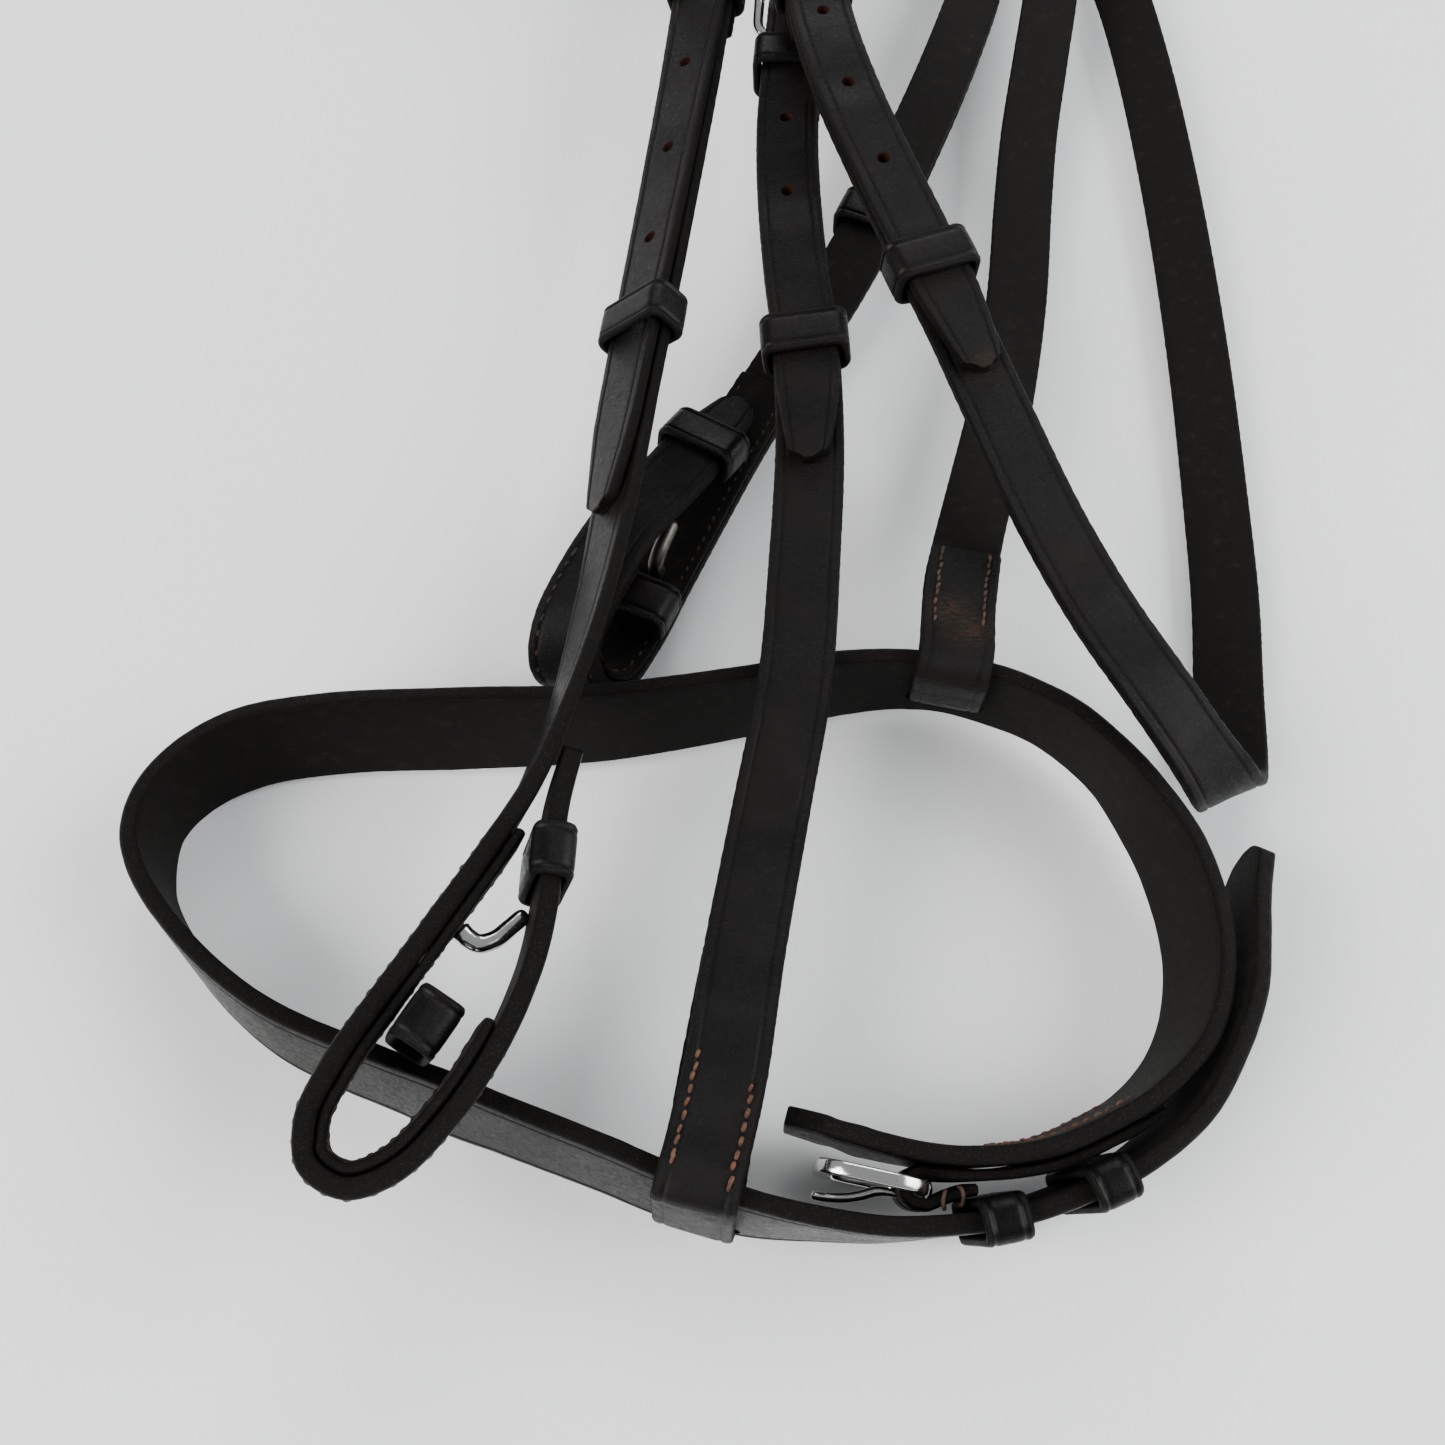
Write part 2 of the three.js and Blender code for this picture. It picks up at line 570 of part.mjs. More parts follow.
// A tongue: an eye round the bar, and a blade from it to "tip", [along, out] of the bar.
function tongue(name, f, drop, tip) {
  const eye = new THREE.Shape().absarc(0, 0, TONGUE.eyeOuter, 0, 2 * Math.PI, false);
  eye.holes.push(new THREE.Path().absarc(0, 0, TONGUE.eyeInner, 0, 2 * Math.PI, false));
  const settings = { depth: TONGUE.width, bevelEnabled: false, curveSegments: 5 };
  const ring = new THREE.ExtrudeGeometry(eye, settings)
    .translate(0, 0, -TONGUE.width / 2)
    .rotateY(Math.PI / 2);
  const reach = Math.hypot(...tip);
  const root = (TONGUE.eyeOuter + TONGUE.eyeInner) / 2;
  const blade = new THREE.BoxGeometry(TONGUE.width, reach - root, TONGUE.thick)
    .translate(0, (reach + root) / 2, 0)
    .rotateX(Math.atan2(tip[1], tip[0]));
  const at = { ...f, p: offset(f, 0, 0, -drop) };
  add(name, joined([ring, blade]).applyMatrix4(matrixOf(at)), NICKEL);
}

// How far a turned-back strap still stands off what it lies on, from 1 at the bar to 0.
const settling = (d) => Math.max(0, 1 - Math.max(0, d - 1.5) / SETTLED_AT) ** 1.6;

// A strap's end turned back round a buckle bar. read(d) is the frame d before the bar, travelling
// towards it, and the lap lies depthAt(d) below it. The list runs round the bar and back.
function turnedBack(read, drop, depthAt, lapLength) {
  const bar = read(0);
  const round = [30, 60, 90, 120, 150].map((degrees) => {
    const angle = THREE.MathUtils.degToRad(degrees);
    const n = bar.n.clone().multiplyScalar(Math.cos(angle)).addScaledVector(bar.t, Math.sin(angle));
    const t = bar.t.clone().multiplyScalar(Math.cos(angle)).addScaledVector(bar.n, -Math.sin(angle));
    const p = bar.p.clone().addScaledVector(bar.n, -drop).addScaledVector(n, drop);
    return { p, t, n, a: bar.a.clone(), thick: CHAPE_THICK };
  });
  const places = [0.8, 3, 5, 7, 9];
  for (let d = 15; d < lapLength; d += 6) places.push(d);
  const lap = [...places, lapLength].map((d) => {
    const f = read(d);
    const turned = { ...f, t: f.t.clone().negate(), n: f.n.clone().negate() };
    return { ...turned, p: offset(f, 0, 0, -depthAt(d)), thick: CHAPE_THICK };
  });
  return [...round, ...lap];
}

const LAP_MIDDLE = STRAP_THICK / 2 + GAP + CHAPE_THICK / 2;
const LAP_BOTTOM = -LAP_MIDDLE - CHAPE_THICK / 2;
const BILLET_TOP = BILLET_RISE + BILLET_THICK / 2;

// The frames of a strap that ends at a buckle bar at the end of its route.
function buckledStrap(route, thickAt = () => STRAP_THICK) {
  const main = route.frames(0, route.length).map((f) => {
    const share = THREE.MathUtils.clamp((route.length - f.distance) / SKIVE_LENGTH, 0, 1);
    return { ...f, thick: CHAPE_THICK + (thickAt(f.distance) - CHAPE_THICK) * share };
  });
  const read = (d) => route.at(route.length - d);
  const depthAt = (d) => LAP_MIDDLE + (2 * BAR_DROP - LAP_MIDDLE) * settling(d);
  return [...main, ...turnedBack(read, BAR_DROP, depthAt, LAP_LENGTH)];
}

// A thickness that changes from one value to another between two distances.
const easing = (from, to, start, end) => (distance) =>
  from + (to - from) * THREE.MathUtils.smoothstep(distance, start, end);

// Room for the tongue's eye and blade where a strap is folded round the bar.
const tongueSlot = (f, drop) => block(f, TONGUE.width + 1, 17, 15, [0, 0, -drop]);

// Buckle, tongue, fixed keeper and runner at the end of a strap.
function buckleSet(side, route, runnerAt) {
  const bar = route.at(route.length);
  buckleFrame(side + "_buckle", bar, BAR_DROP, BUCKLE);
  const overRail = BUCKLE.rise + BUCKLE.wire / 2 + TONGUE.thick / 2 + 3 * GAP;
  tongue(side + "_buckle_tongue", bar, BAR_DROP, [BUCKLE.length + 1, overRail]);
  keeper(side + "_fixed_keeper", route.at(route.length - FIXED_KEEPER_AT), LAP_BOTTOM, BILLET_TOP);
  const runner = route.at(route.length - runnerAt);
  keeper(side + "_runner", runner, -STRAP_THICK / 2, BILLET_TOP, STRAP_WIDTH, RUNNER);
}

// A billet's row list: from its tip along the strap it is buckled to, over the bar and below the far
// rail, ready to be carried on to the crown.
const OVER_BAR = [[3, BILLET_RISE - 0.2], [9, 0.9], [16, -1.2], [22, -1.4]];

function billetRows(route, tipAt) {
  const steps = Math.round(tipAt / 14);
  const along = Array.from({ length: steps + 1 }, (_, i) => {
    const f = route.at(route.length - tipAt + (tipAt * i) / steps);
    return [...offset(f, 0, 0, BILLET_RISE), ...f.a];
  });
  const bar = route.at(route.length);
  const over = OVER_BAR.map(([ahead, out]) => [...offset(bar, 0, ahead, out), ...bar.a]);
  return [...along, ...over];
}

// A billet with its tapered tip, its holes and the slot that the tongue stands in.
function billet(rows, tipAt, holes) {
  const route = new Route(rows);
  const frames = tapered(route.frames(0, route.length), BILLET_WIDTH, TIP_LENGTH, true);
  const solid = strap(frames, BILLET_WIDTH, BILLET_THICK);
  const tools = holes.map((d) => slot(route.at(tipAt - d), HOLE_WIDTH, HOLE_WIDTH, 8));
  return cut(solid, [...tools, slot(route.at(tipAt + 9), TONGUE.width + 1, 11, 9)]);
}

// ---------------------------------------------------------------- routes
const leftCheek = new Route(LEFT_CHEEK);
const rightCheek = new Route(RIGHT_CHEEK);
const throatlash = new Route(THROATLASH);
const crown = new Route(CROWN_ROUTE);
const browband = new Route(BROWBAND_ROUTE);
const NOSEBAND_CHIN_END = 60; // the straight start of the noseband, inside its buckle end
const nosebandRoute = new Route(
  NOSEBAND_PLAN.map(([x, y, lift, leanX, leanY]) => {
    return [x, y, NOSEBAND.width / 2 + lift, -leanX, -leanY, -1];
  }),
);

const wallAt = (place) => nosebandRoute.at(nosebandRoute.nearest(place, NOSEBAND_CHIN_END));

// The rows of a strap end wrapped round the noseband at a place on it.
function wrapRows(place, wrap) {
  const wall = wallAt(place);
  return wrap.map(([down, out]) => [...offset(wall, down, 0, out), ...wall.t]);
}

const LEFT_WRAP_PLACE = vector(-4.5, 48.4, 16);
const leftNosebandCheek = new Route([
  ...LEFT_WRAP_LAP,
  ...wrapRows(LEFT_WRAP_PLACE, LEFT_WRAP),
  ...LEFT_NOSEBAND_CHEEK,
]);
const RIGHT_WRAP_PLACE = vector(50.8, 160, 16);
const headstall = new Route([
  ...RIGHT_WRAP_LAP,
  ...wrapRows(RIGHT_WRAP_PLACE, RIGHT_WRAP),
  ...HEADSTALL,
]);

// A strap sewn to the noseband is thin up to the first row of its route after the wrap.
function wrappedThickness(route, [x, y, z]) {
  const end = route.nearest(vector(x, y, z), 40);
  return easing(WRAP_THICK, STRAP_THICK, end - 2, end + 12);
}

// ---------------------------------------------------------------- headpiece and throatlash
// One piece of leather: the crown, two billets on the left, one on the right, and on the right the
// long throatlash that comes round to its buckle on the left.
const BILLET_SPREAD = 8.4; // from the middle of the crown to the middle of a billet

function crownRows(atLeft, side) {
  const places = atLeft ? [-0.5, 9] : [crown.length + 0.5, crown.length - 9];
  return places.map((distance) => {
    const f = crown.at(distance);
    return [...offset(f, side * BILLET_SPREAD, 0, 0), ...f.a];
  });
}

const flipRows = (rows) => rows.map(([x, y, z, ...a]) => [x, y, z, ...a.map((v) => -v)]);

const leftCheekBillet = billet(
  [...billetRows(leftCheek, LEFT_CHEEK_TIP), [5, 418, 42.8, 0.96, 0.2, 0.06], ...crownRows(true, -1)],
  LEFT_CHEEK_TIP,
  CHEEK_HOLES,
);
const leftThroatBillet = billet(
  [...billetRows(throatlash, THROAT_TIP), [24.5, 404, 47, 0.99, 0.12, 0], ...crownRows(true, 1)],
  THROAT_TIP,
  THROAT_HOLES,
);
const rightCheekBillet = billet(
  [...billetRows(rightCheek, RIGHT_CHEEK_TIP), ...flipRows(crownRows(false, -1))],
  RIGHT_CHEEK_TIP,
  CHEEK_HOLES,
);
const throatFrames = buckledStrap(throatlash);
const throatStrap = cut(strap(throatFrames, BILLET_WIDTH, STRAP_THICK), [
  tongueSlot(throatlash.at(throatlash.length), BAR_DROP),
]);
const crownStrap = strap(crown.frames(0, crown.length), CROWN.width, CROWN.thick);
const headpiece = [crownStrap, leftCheekBillet, leftThroatBillet, rightCheekBillet, throatStrap];
add("headpiece_and_throatlash", joined(headpiece), LEATHER);
buckleSet("throatlash", throatlash, 116);

// ---------------------------------------------------------------- browband
const browbandFrames = browband.frames(0, browband.length);
add("browband", strap(browbandFrames, BROWBAND.width, BROWBAND.thick), LEATHER);

// ---------------------------------------------------------------- noseband and its headstall
const chinFrames = [0, CHIN_END.length / 2, CHIN_END.length].map((distance) => {
  const width = NOSEBAND.width - 2 * CHIN_END.slope * (CHIN_END.length - distance);
  return { ...nosebandRoute.at(distance), width };
});
const wallFrames = nosebandRoute.frames(CHIN_END.length + 2, nosebandRoute.length);
const nosebandFrames = [...chinFrames, ...tapered(wallFrames, NOSEBAND.width, 34, false)];
const wrapSlot = (place, down) =>
  block(wallAt(place), WRAP_SLOT.width, WRAP_SLOT.length, 12, [down, 0, 0]);
add(
  "noseband",
  cut(strap(nosebandFrames, NOSEBAND.width, NOSEBAND.thick), [
    wrapSlot(LEFT_WRAP_PLACE, WRAP_SLOT.leftDown),
    wrapSlot(RIGHT_WRAP_PLACE, WRAP_SLOT.rightDown),
  ]),
  LEATHER,
);

const CHAPE = { barAt: 26, innerLength: 46, outerLength: 9, width: 20 };
const chapeInner = NOSEBAND.thick / 2 + GAP + CHAPE_THICK / 2;
const chapeOuter = chapeInner + CHAPE_THICK + GAP;
const chapeBar = chapeInner + CHAPE_THICK / 2 + GAP + NOSEBAND_BUCKLE.wire / 2;
const chapeTurn = chapeBar - chapeInner;
const outerLegAt = (d) => chapeOuter + (chapeBar + chapeTurn - chapeOuter) * settling(d);
const readChape = (d) => {
  const f = backwards(nosebandRoute.at(CHAPE.barAt + d));
  return { ...f, p: offset(f, 0, 0, outerLegAt(d)) };
};
const chapeFrames = [
  ...[CHAPE.outerLength, 7, 5, 3, 1].map((d) => ({ ...readChape(d), thick: CHAPE_THICK })),
  ...turnedBack(readChape, chapeTurn, (d) => outerLegAt(d) - chapeInner, CHAPE.innerLength),
];
const chapeBarFrame = backwards(nosebandRoute.at(CHAPE.barAt));
add(
  "noseband_chape",
  cut(strap(chapeFrames, CHAPE.width, CHAPE_THICK), [
    block(chapeBarFrame, TONGUE.width + 1, 17, 8, [0, 0, chapeBar]),
  ]),
  LEATHER,
);
buckleFrame("noseband_buckle", chapeBarFrame, -chapeBar, NOSEBAND_BUCKLE);
tongue("noseband_buckle_tongue", chapeBarFrame, -chapeBar, [19, 4]);
const billetSide = nosebandRoute.length / 2;
NOSEBAND_KEEPERS.forEach(([name, x, y]) => {
  const f = nosebandRoute.at(nosebandRoute.nearest(vector(x, y, 16), billetSide));
  keeper(name, f, -NOSEBAND.thick / 2, NOSEBAND.thick / 2, NOSEBAND.width, NOSEBAND_KEEPER);
});

const leftNosebandCheekFrames = buckledStrap(
  leftNosebandCheek,
  wrappedThickness(leftNosebandCheek, LEFT_NOSEBAND_CHEEK[0]),
);
add(
  "left_noseband_cheek",
  cut(strap(leftNosebandCheekFrames, STRAP_WIDTH, STRAP_THICK), [
    tongueSlot(leftNosebandCheek.at(leftNosebandCheek.length), BAR_DROP),
  ]),
  LEATHER,
);
buckleSet("left_noseband_cheek", leftNosebandCheek, 112);

const headstallEnd = flipRows([...HEADSTALL].reverse().slice(0, 2));
const headstallBillet = billet(
  [...billetRows(leftNosebandCheek, NOSEBAND_CHEEK_TIP), ...headstallEnd],
  NOSEBAND_CHEEK_TIP,
  NOSEBAND_CHEEK_HOLES,
);
const headstallThickness = wrappedThickness(headstall, HEADSTALL[0]);
const headstallFrames = headstall
  .frames(0, headstall.length)
  .map((f) => ({ ...f, thick: headstallThickness(f.distance) }));
const headstallStrap = strap(headstallFrames, STRAP_WIDTH, STRAP_THICK);
add("noseband_headstall", joined([headstallStrap, headstallBillet]), LEATHER);

// ---------------------------------------------------------------- cheekpieces
const EMPTY_KEEPER_DEPTH = 5;
const LINING_RISE = LOOP_THICK / 2 + 1.5 * GAP + LINING_THICK / 2;

function cheekpiece(side, route, places) {
  const fold = tongueSlot(route.at(route.length), BAR_DROP);
  const thickness = easing(LOOP_THICK, STRAP_THICK, places.liningTo, places.liningTo + 40);
  const frames = tapered(buckledStrap(route, thickness), STRAP_WIDTH, TIP_LENGTH, true);
  add(side + "_cheekpiece", cut(strap(frames, STRAP_WIDTH, STRAP_THICK), [fold]), LEATHER);

  const lining = route.frames(places.liningFrom, places.liningTo, -LINING_RISE);
  add(side + "_cheek_lining", strap(lining, STRAP_WIDTH, LINING_THICK), LEATHER);

  const studAt = route.at(places.stud);
  const inside = -LINING_RISE - LINING_THICK / 2 - GAP;
  const bends = new THREE.SplineCurve(HOOK_STUD.path.map((place) => new THREE.Vector2(...place)));
  const studPath = bends.getPoints(12).map(({ x, y }) => offset(studAt, 0, x, inside - y));
  add(side + "_hook_stud", rod(studPath, studAt.a, HOOK_STUD.wire / 2, 8), NICKEL);

  const tail = route.at(places.upperKeeper);
  keeper(side + "_cheek_upper_keeper", tail, -LOOP_THICK / 2 - places.upperSlack, LOOP_THICK / 2);
  const empty = route.at(places.lowerKeeper);
  const high = inside - KEEPER.thick - KEEPER.clearance;
  const raised = { ...empty, p: offset(empty, places.lowerKeeperRise, 0, 0) };
  keeper(side + "_cheek_lower_keeper", raised, high - EMPTY_KEEPER_DEPTH, high, STRAP_WIDTH - 1);
}

cheekpiece("left", leftCheek, {
  liningFrom: leftCheek.nearest(vector(-38, 73, 38)),
  liningTo: leftCheek.nearest(vector(-42.5, 114.5, 38), 110),
  stud: leftCheek.nearest(vector(-50, 99, 38), 120),
  upperKeeper: leftCheek.nearest(vector(-31, 107.5, 38), 0, 60),
  upperSlack: 0.1,
  lowerKeeper: leftCheek.nearest(vector(-62, 80, 38), 110),
  lowerKeeperRise: 3.4,
});
buckleSet("left_cheek", leftCheek, 137);

cheekpiece("right", rightCheek, {
  liningFrom: 62,
  liningTo: 200,
  stud: 140,
  upperKeeper: 18,
  upperSlack: 1,
  lowerKeeper: 124,
  lowerKeeperRise: 0,
});
buckleSet("right_cheek", rightCheek, 158);

export default bridle;
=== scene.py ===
# Looks of the snaffle bridle: every strap, keeper, buckle and seam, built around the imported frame.
import math

import bmesh
import bpy
import numpy as np
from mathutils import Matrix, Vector


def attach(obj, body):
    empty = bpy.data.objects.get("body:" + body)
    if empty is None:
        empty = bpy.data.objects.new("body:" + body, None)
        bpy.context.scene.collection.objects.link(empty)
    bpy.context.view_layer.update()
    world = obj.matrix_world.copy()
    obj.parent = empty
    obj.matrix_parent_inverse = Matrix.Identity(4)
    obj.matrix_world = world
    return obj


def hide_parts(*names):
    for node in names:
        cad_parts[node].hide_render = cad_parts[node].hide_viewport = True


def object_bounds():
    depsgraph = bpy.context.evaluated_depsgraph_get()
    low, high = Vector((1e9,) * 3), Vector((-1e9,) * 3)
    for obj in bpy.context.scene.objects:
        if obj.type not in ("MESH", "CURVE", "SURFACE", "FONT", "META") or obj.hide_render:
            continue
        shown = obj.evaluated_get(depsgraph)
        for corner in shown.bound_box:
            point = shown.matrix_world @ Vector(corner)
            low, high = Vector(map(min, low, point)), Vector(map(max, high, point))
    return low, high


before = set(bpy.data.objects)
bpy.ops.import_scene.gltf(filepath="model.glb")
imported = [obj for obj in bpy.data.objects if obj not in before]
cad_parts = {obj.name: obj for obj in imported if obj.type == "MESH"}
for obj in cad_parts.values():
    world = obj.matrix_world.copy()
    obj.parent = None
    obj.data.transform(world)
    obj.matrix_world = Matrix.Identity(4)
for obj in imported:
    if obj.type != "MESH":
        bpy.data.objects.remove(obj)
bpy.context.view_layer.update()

# ---------------------------------------------------------------- dimensions, in millimetres
MM = 0.001
LAYOUT_CENTRE = np.array([5, 290.8, -0.2])  # the routes below are drawn from a corner of the layout
ROOT = "bridle"
GAP = 0.3
STRAP_WIDTH, STRAP_THICK = 16, 3.2
BILLET_WIDTH, BILLET_THICK = 15.6, 2.8
LOOP_THICK, LINING_THICK, WRAP_THICK = 4, 2.2, 2
CROWN_WIDTH, CROWN_THICK = 33, 3.1
BROWBAND_WIDTH, BROWBAND_THICK = 20, 3
NOSEBAND_WIDTH, NOSEBAND_THICK = 25, 3.8
CHAPE_THICK, CHAPE_WIDTH = 2.2, 20
CHAPE_BAR_AT, CHAPE_INNER, CHAPE_OUTER = 26, 46, 9
CHIN_END_LENGTH, CHIN_END_SLOPE = 7, 0.85
WRAP_SLOT_WIDTH, WRAP_SLOT_LENGTH, LEFT_SLOT_DOWN, RIGHT_SLOT_DOWN = 4.8, 17.8, 8.2, 4
TIP_LENGTH, TIP_NARROWING = 26, 0.42
HOLE_WIDTH = 3.4
CHEEK_HOLES = [19, 50, 81, 112]
THROAT_HOLES = [33, 59, 85, 111]
NOSEBAND_CHEEK_HOLES = [15, 41, 67]
KEEPER_THICK = 1.9
LAP_LENGTH, FIXED_KEEPER_AT, SETTLED_AT, SKIVE_LENGTH = 34, 16, 8, 10
BUCKLE = (24, 17.5, 3, 6.4, 4)  # width, length, wire, rise, corner
NOSEBAND_BUCKLE = (32, 18, 3, -1.2, 5)
BAR_DROP = STRAP_THICK / 2 + GAP + BUCKLE[2] / 2
BILLET_RISE = STRAP_THICK / 2 + GAP + BILLET_THICK / 2
OVER_RAIL = BUCKLE[3] + BUCKLE[2] / 2 + 1 + 3 * GAP
LAP_MIDDLE = STRAP_THICK / 2 + GAP + CHAPE_THICK / 2
LAP_BOTTOM = -LAP_MIDDLE - CHAPE_THICK / 2
BILLET_TOP = BILLET_RISE + BILLET_THICK / 2
LINING_RISE = LOOP_THICK / 2 + 1.5 * GAP + LINING_THICK / 2
EMPTY_KEEPER_DEPTH = 5
LEFT_CHEEK_TIP, RIGHT_CHEEK_TIP, THROAT_TIP, NOSEBAND_CHEEK_TIP = 193, 187, 148, 147
NOSEBAND_CHIN_END = 60
BILLET_SPREAD = 8.4
OVER_BAR = [[3, BILLET_RISE - 0.2], [9, 0.9], [16, -1.2], [22, -1.4]]
HOOK_STUD_WIRE = 2.8
HOOK_STUD_PATH = [[-3.6, 0.1], [-3.9, 2], [-3.6, 4.2], [-1.2, 6.2], [2, 7.1], [5, 7.8]]
NOSEBAND_KEEPERS = [["noseband_keeper_near_buckle", 50.6, 45], ["noseband_keeper_far", 70.4, 51.4]]

# ---------------------------------------------------------------- routes
# A row is the middle of a strap and the direction across it, in millimetres. A row of the noseband's
# plan is x, y, the lift of its lower edge and its lean.
NOSEBAND_PLAN = [
    [12.5, 63.6, 4, 0, -0.1],
    [20, 61.4, 4, 0, -0.14],
    [28, 58.9, 4, 0, -0.14],
    [40, 56.6, 4, 0, -0.16],
    [51, 56.6, 4, 0.01, -0.18],
    [61, 58.2, 4, 0.03, -0.18],
    [71.5, 62.4, 4, 0.04, -0.18],
    [81.5, 68, 4, 0.08, -0.16],
    [92, 79.2, 4, 0.2, -0.08],
    [97.2, 96, 4, 0.21, 0],
    [95.5, 116, 4, 0.17, 0.02],
    [89.5, 131, 4, 0.06, 0],
    [83.3, 141.2, 4, -0.02, -0.04],
    [74.2, 150.4, 4, 0, -0.08],
    [62, 157, 4, 0, -0.08],
    [44, 161.4, 4, 0, -0.08],
    [26, 160.6, 3.8, 0, 0],
    [5, 156.2, 3.4, 0, 0.08],
    [-27, 151.2, 2.8, 0, 0.16],
    [-59, 150.1, 2, 0, 0.23],
    [-86, 149.3, 1.2, 0.02, 0.22],
    [-105, 146, 0.6, 0.02, 0.2],
    [-117, 138.6, 0.2, 0.02, 0.12],
    [-123, 129, 0, 0, 0.04],
    [-122, 116, 0, 0, 0.04],
    [-111, 100, 0.6, 0.02, 0.06],
    [-91.3, 83, 1.4, 0.05, 0.12],
    [-63.5, 70.8, 2.4, 0.05, 0.15],
    [-44.2, 63.3, 3.2, 0.05, 0.15],
    [-21.5, 54.7, 3.8, 0.05, 0.13],
    [-10.8, 50.4, 4, 0.05, 0.12],
    [5.8, 45.9, 4, 0.03, 0.05],
    [17.8, 44.2, 4, 0, -0.04],
    [30.5, 43.2, 4, 0, -0.1],
    [43.7, 44.1, 4, 0, -0.14],
    [55, 46.2, 4, 0.02, -0.17],
    [71, 51.8, 4, 0.04, -0.16],
    [80, 56.6, 4, 0.06, -0.15],
    [89, 64, 4, 0.14, -0.1],
    [96.3, 75, 4, 0.2, -0.06],
    [101.8, 86, 4, 0.21, -0.02],
    [105.3, 98, 4, 0.2, 0],
    [108.5, 108.5, 4, 0.15, 0],
    [113, 119.5, 4, 0.09, 0],
]
LEFT_CHEEK = [
    [-30.4, 132.6, 39, 0.25, -0.2, 0.95],
    [-32.9, 120.6, 38.7, 0.25, -0.2, 0.95],
    [-33.9, 109.6, 38.5, 0.25, -0.2, 0.95],
    [-34.4, 98.6, 38.5, 0.25, -0.2, 0.95],
    [-36.4, 86.6, 38.5, 0.25, -0.2, 0.95],
    [-41.4, 72.6, 38.5, 0.25, -0.2, 0.95],
    [-48.9, 59.6, 38.5, 0.25, -0.2, 0.95],
    [-57.4, 50.1, 38.5, 0.25, -0.2, 0.95],
    [-65.5, 47.1, 38.5, 0.25, -0.2, 0.95],
    [-72.5, 50.6, 38.5, 0.25, -0.2, 0.95],
    [-74.5, 58.6, 38.5, 0.25, -0.2, 0.95],
    [-71, 68.6, 38.5, 0.25, -0.2, 0.95],
    [-63.5, 81.6, 38.5, 0.25, -0.2, 0.95],
    [-55, 95.6, 38.5, 0.25, -0.2, 0.95],
    [-46.2, 110, 38.5, 0.26, -0.14, 0.95],
    [-39.1, 123.4, 38.4, 0.32, -0.06, 0.94],
    [-33, 143, 38.3, 0.4, 0, 0.92],
    [-28, 167, 38.4, 0.52, 0, 0.85],
    [-24, 194, 38.6, 0.62, 0, 0.78],
    [-20.5, 225, 39, 0.7, 0, 0.71],
    [-16.5, 258, 39.4, 0.77, 0, 0.64],
    [-12.5, 291, 40, 0.82, 0, 0.57],
    [-8.5, 325, 41, 0.88, 0, 0.48],
    [-5.4, 355, 42, 0.94, 0, 0.34],
    [-2.8, 382, 42.5, 0.98, 0, 0.2],
]
RIGHT_CHEEK = [
    [5, 243, 14.5, -0.9, 0.44, 0],
    [-3, 231, 17, -0.9, 0.44, 0],
    [-13, 214, 21, -0.9, 0.44, 0],
    [-23, 198, 24.5, -0.9, 0.42, -0.04],
    [-30, 183, 25.5, -0.94, 0.32, -0.04],
    [-34.5, 172, 23.5, -0.97, 0.2, 0],
    [-36, 166.5, 17.5, -0.98, 0.14, 0],
    [-34, 165.5, 10.5, -0.98, 0.14, 0],
    [-29, 169, 5.6, -0.97, 0.2, 0],
    [-22, 181, 4.6, -0.94, 0.3, 0],
    [-15, 197, 4.8, -0.93, 0.35, 0],
    [-6, 217, 5.4, -0.92, 0.4, 0],
    [4, 238, 6.6, -0.89, 0.46, 0],
    [15.5, 259, 9, -0.86, 0.5, 0],
    [28, 281, 11, -0.88, 0.46, 0],
    [39, 303, 13, -0.9, 0.42, 0],
    [50, 328, 15, -0.92, 0.38, 0],
    [62, 358, 17, -0.93, 0.36, 0],
    [72, 387, 17, -0.95, 0.3, 0],
    [79, 412, 14, -0.97, 0.22, 0],
    [83.5, 436, 11, -0.99, 0.14, 0],
    [86, 460, 9.6, -1, 0.06, 0],
]
LEFT_NOSEBAND_CHEEK = [
    [-2.4, 56.5, 31.4, 0.93, -0.36, 0],
    [0.5, 69, 31, 0.95, -0.31, 0],
    [4.5, 94, 30.8, 0.97, -0.22, 0],
    [10.5, 126, 30.8, 0.98, -0.18, 0],
    [15.5, 153, 31.4, 0.99, -0.14, 0.03],
    [18.5, 186, 32, 0.99, -0.09, 0.08],
    [20.3, 215, 33.5, 0.99, -0.05, 0.12],
    [20, 243, 35.4, 0.99, 0, 0.14],
    [18, 268, 37, 0.99, 0.04, 0.16],
    [17, 290, 38, 0.99, 0.03, 0.16],
    [17, 312, 38.6, 0.99, 0, 0.12],
    [18.4, 334, 38.8, 1, -0.02, 0.06],
    [20, 355, 38.8, 1, -0.03, 0],
]
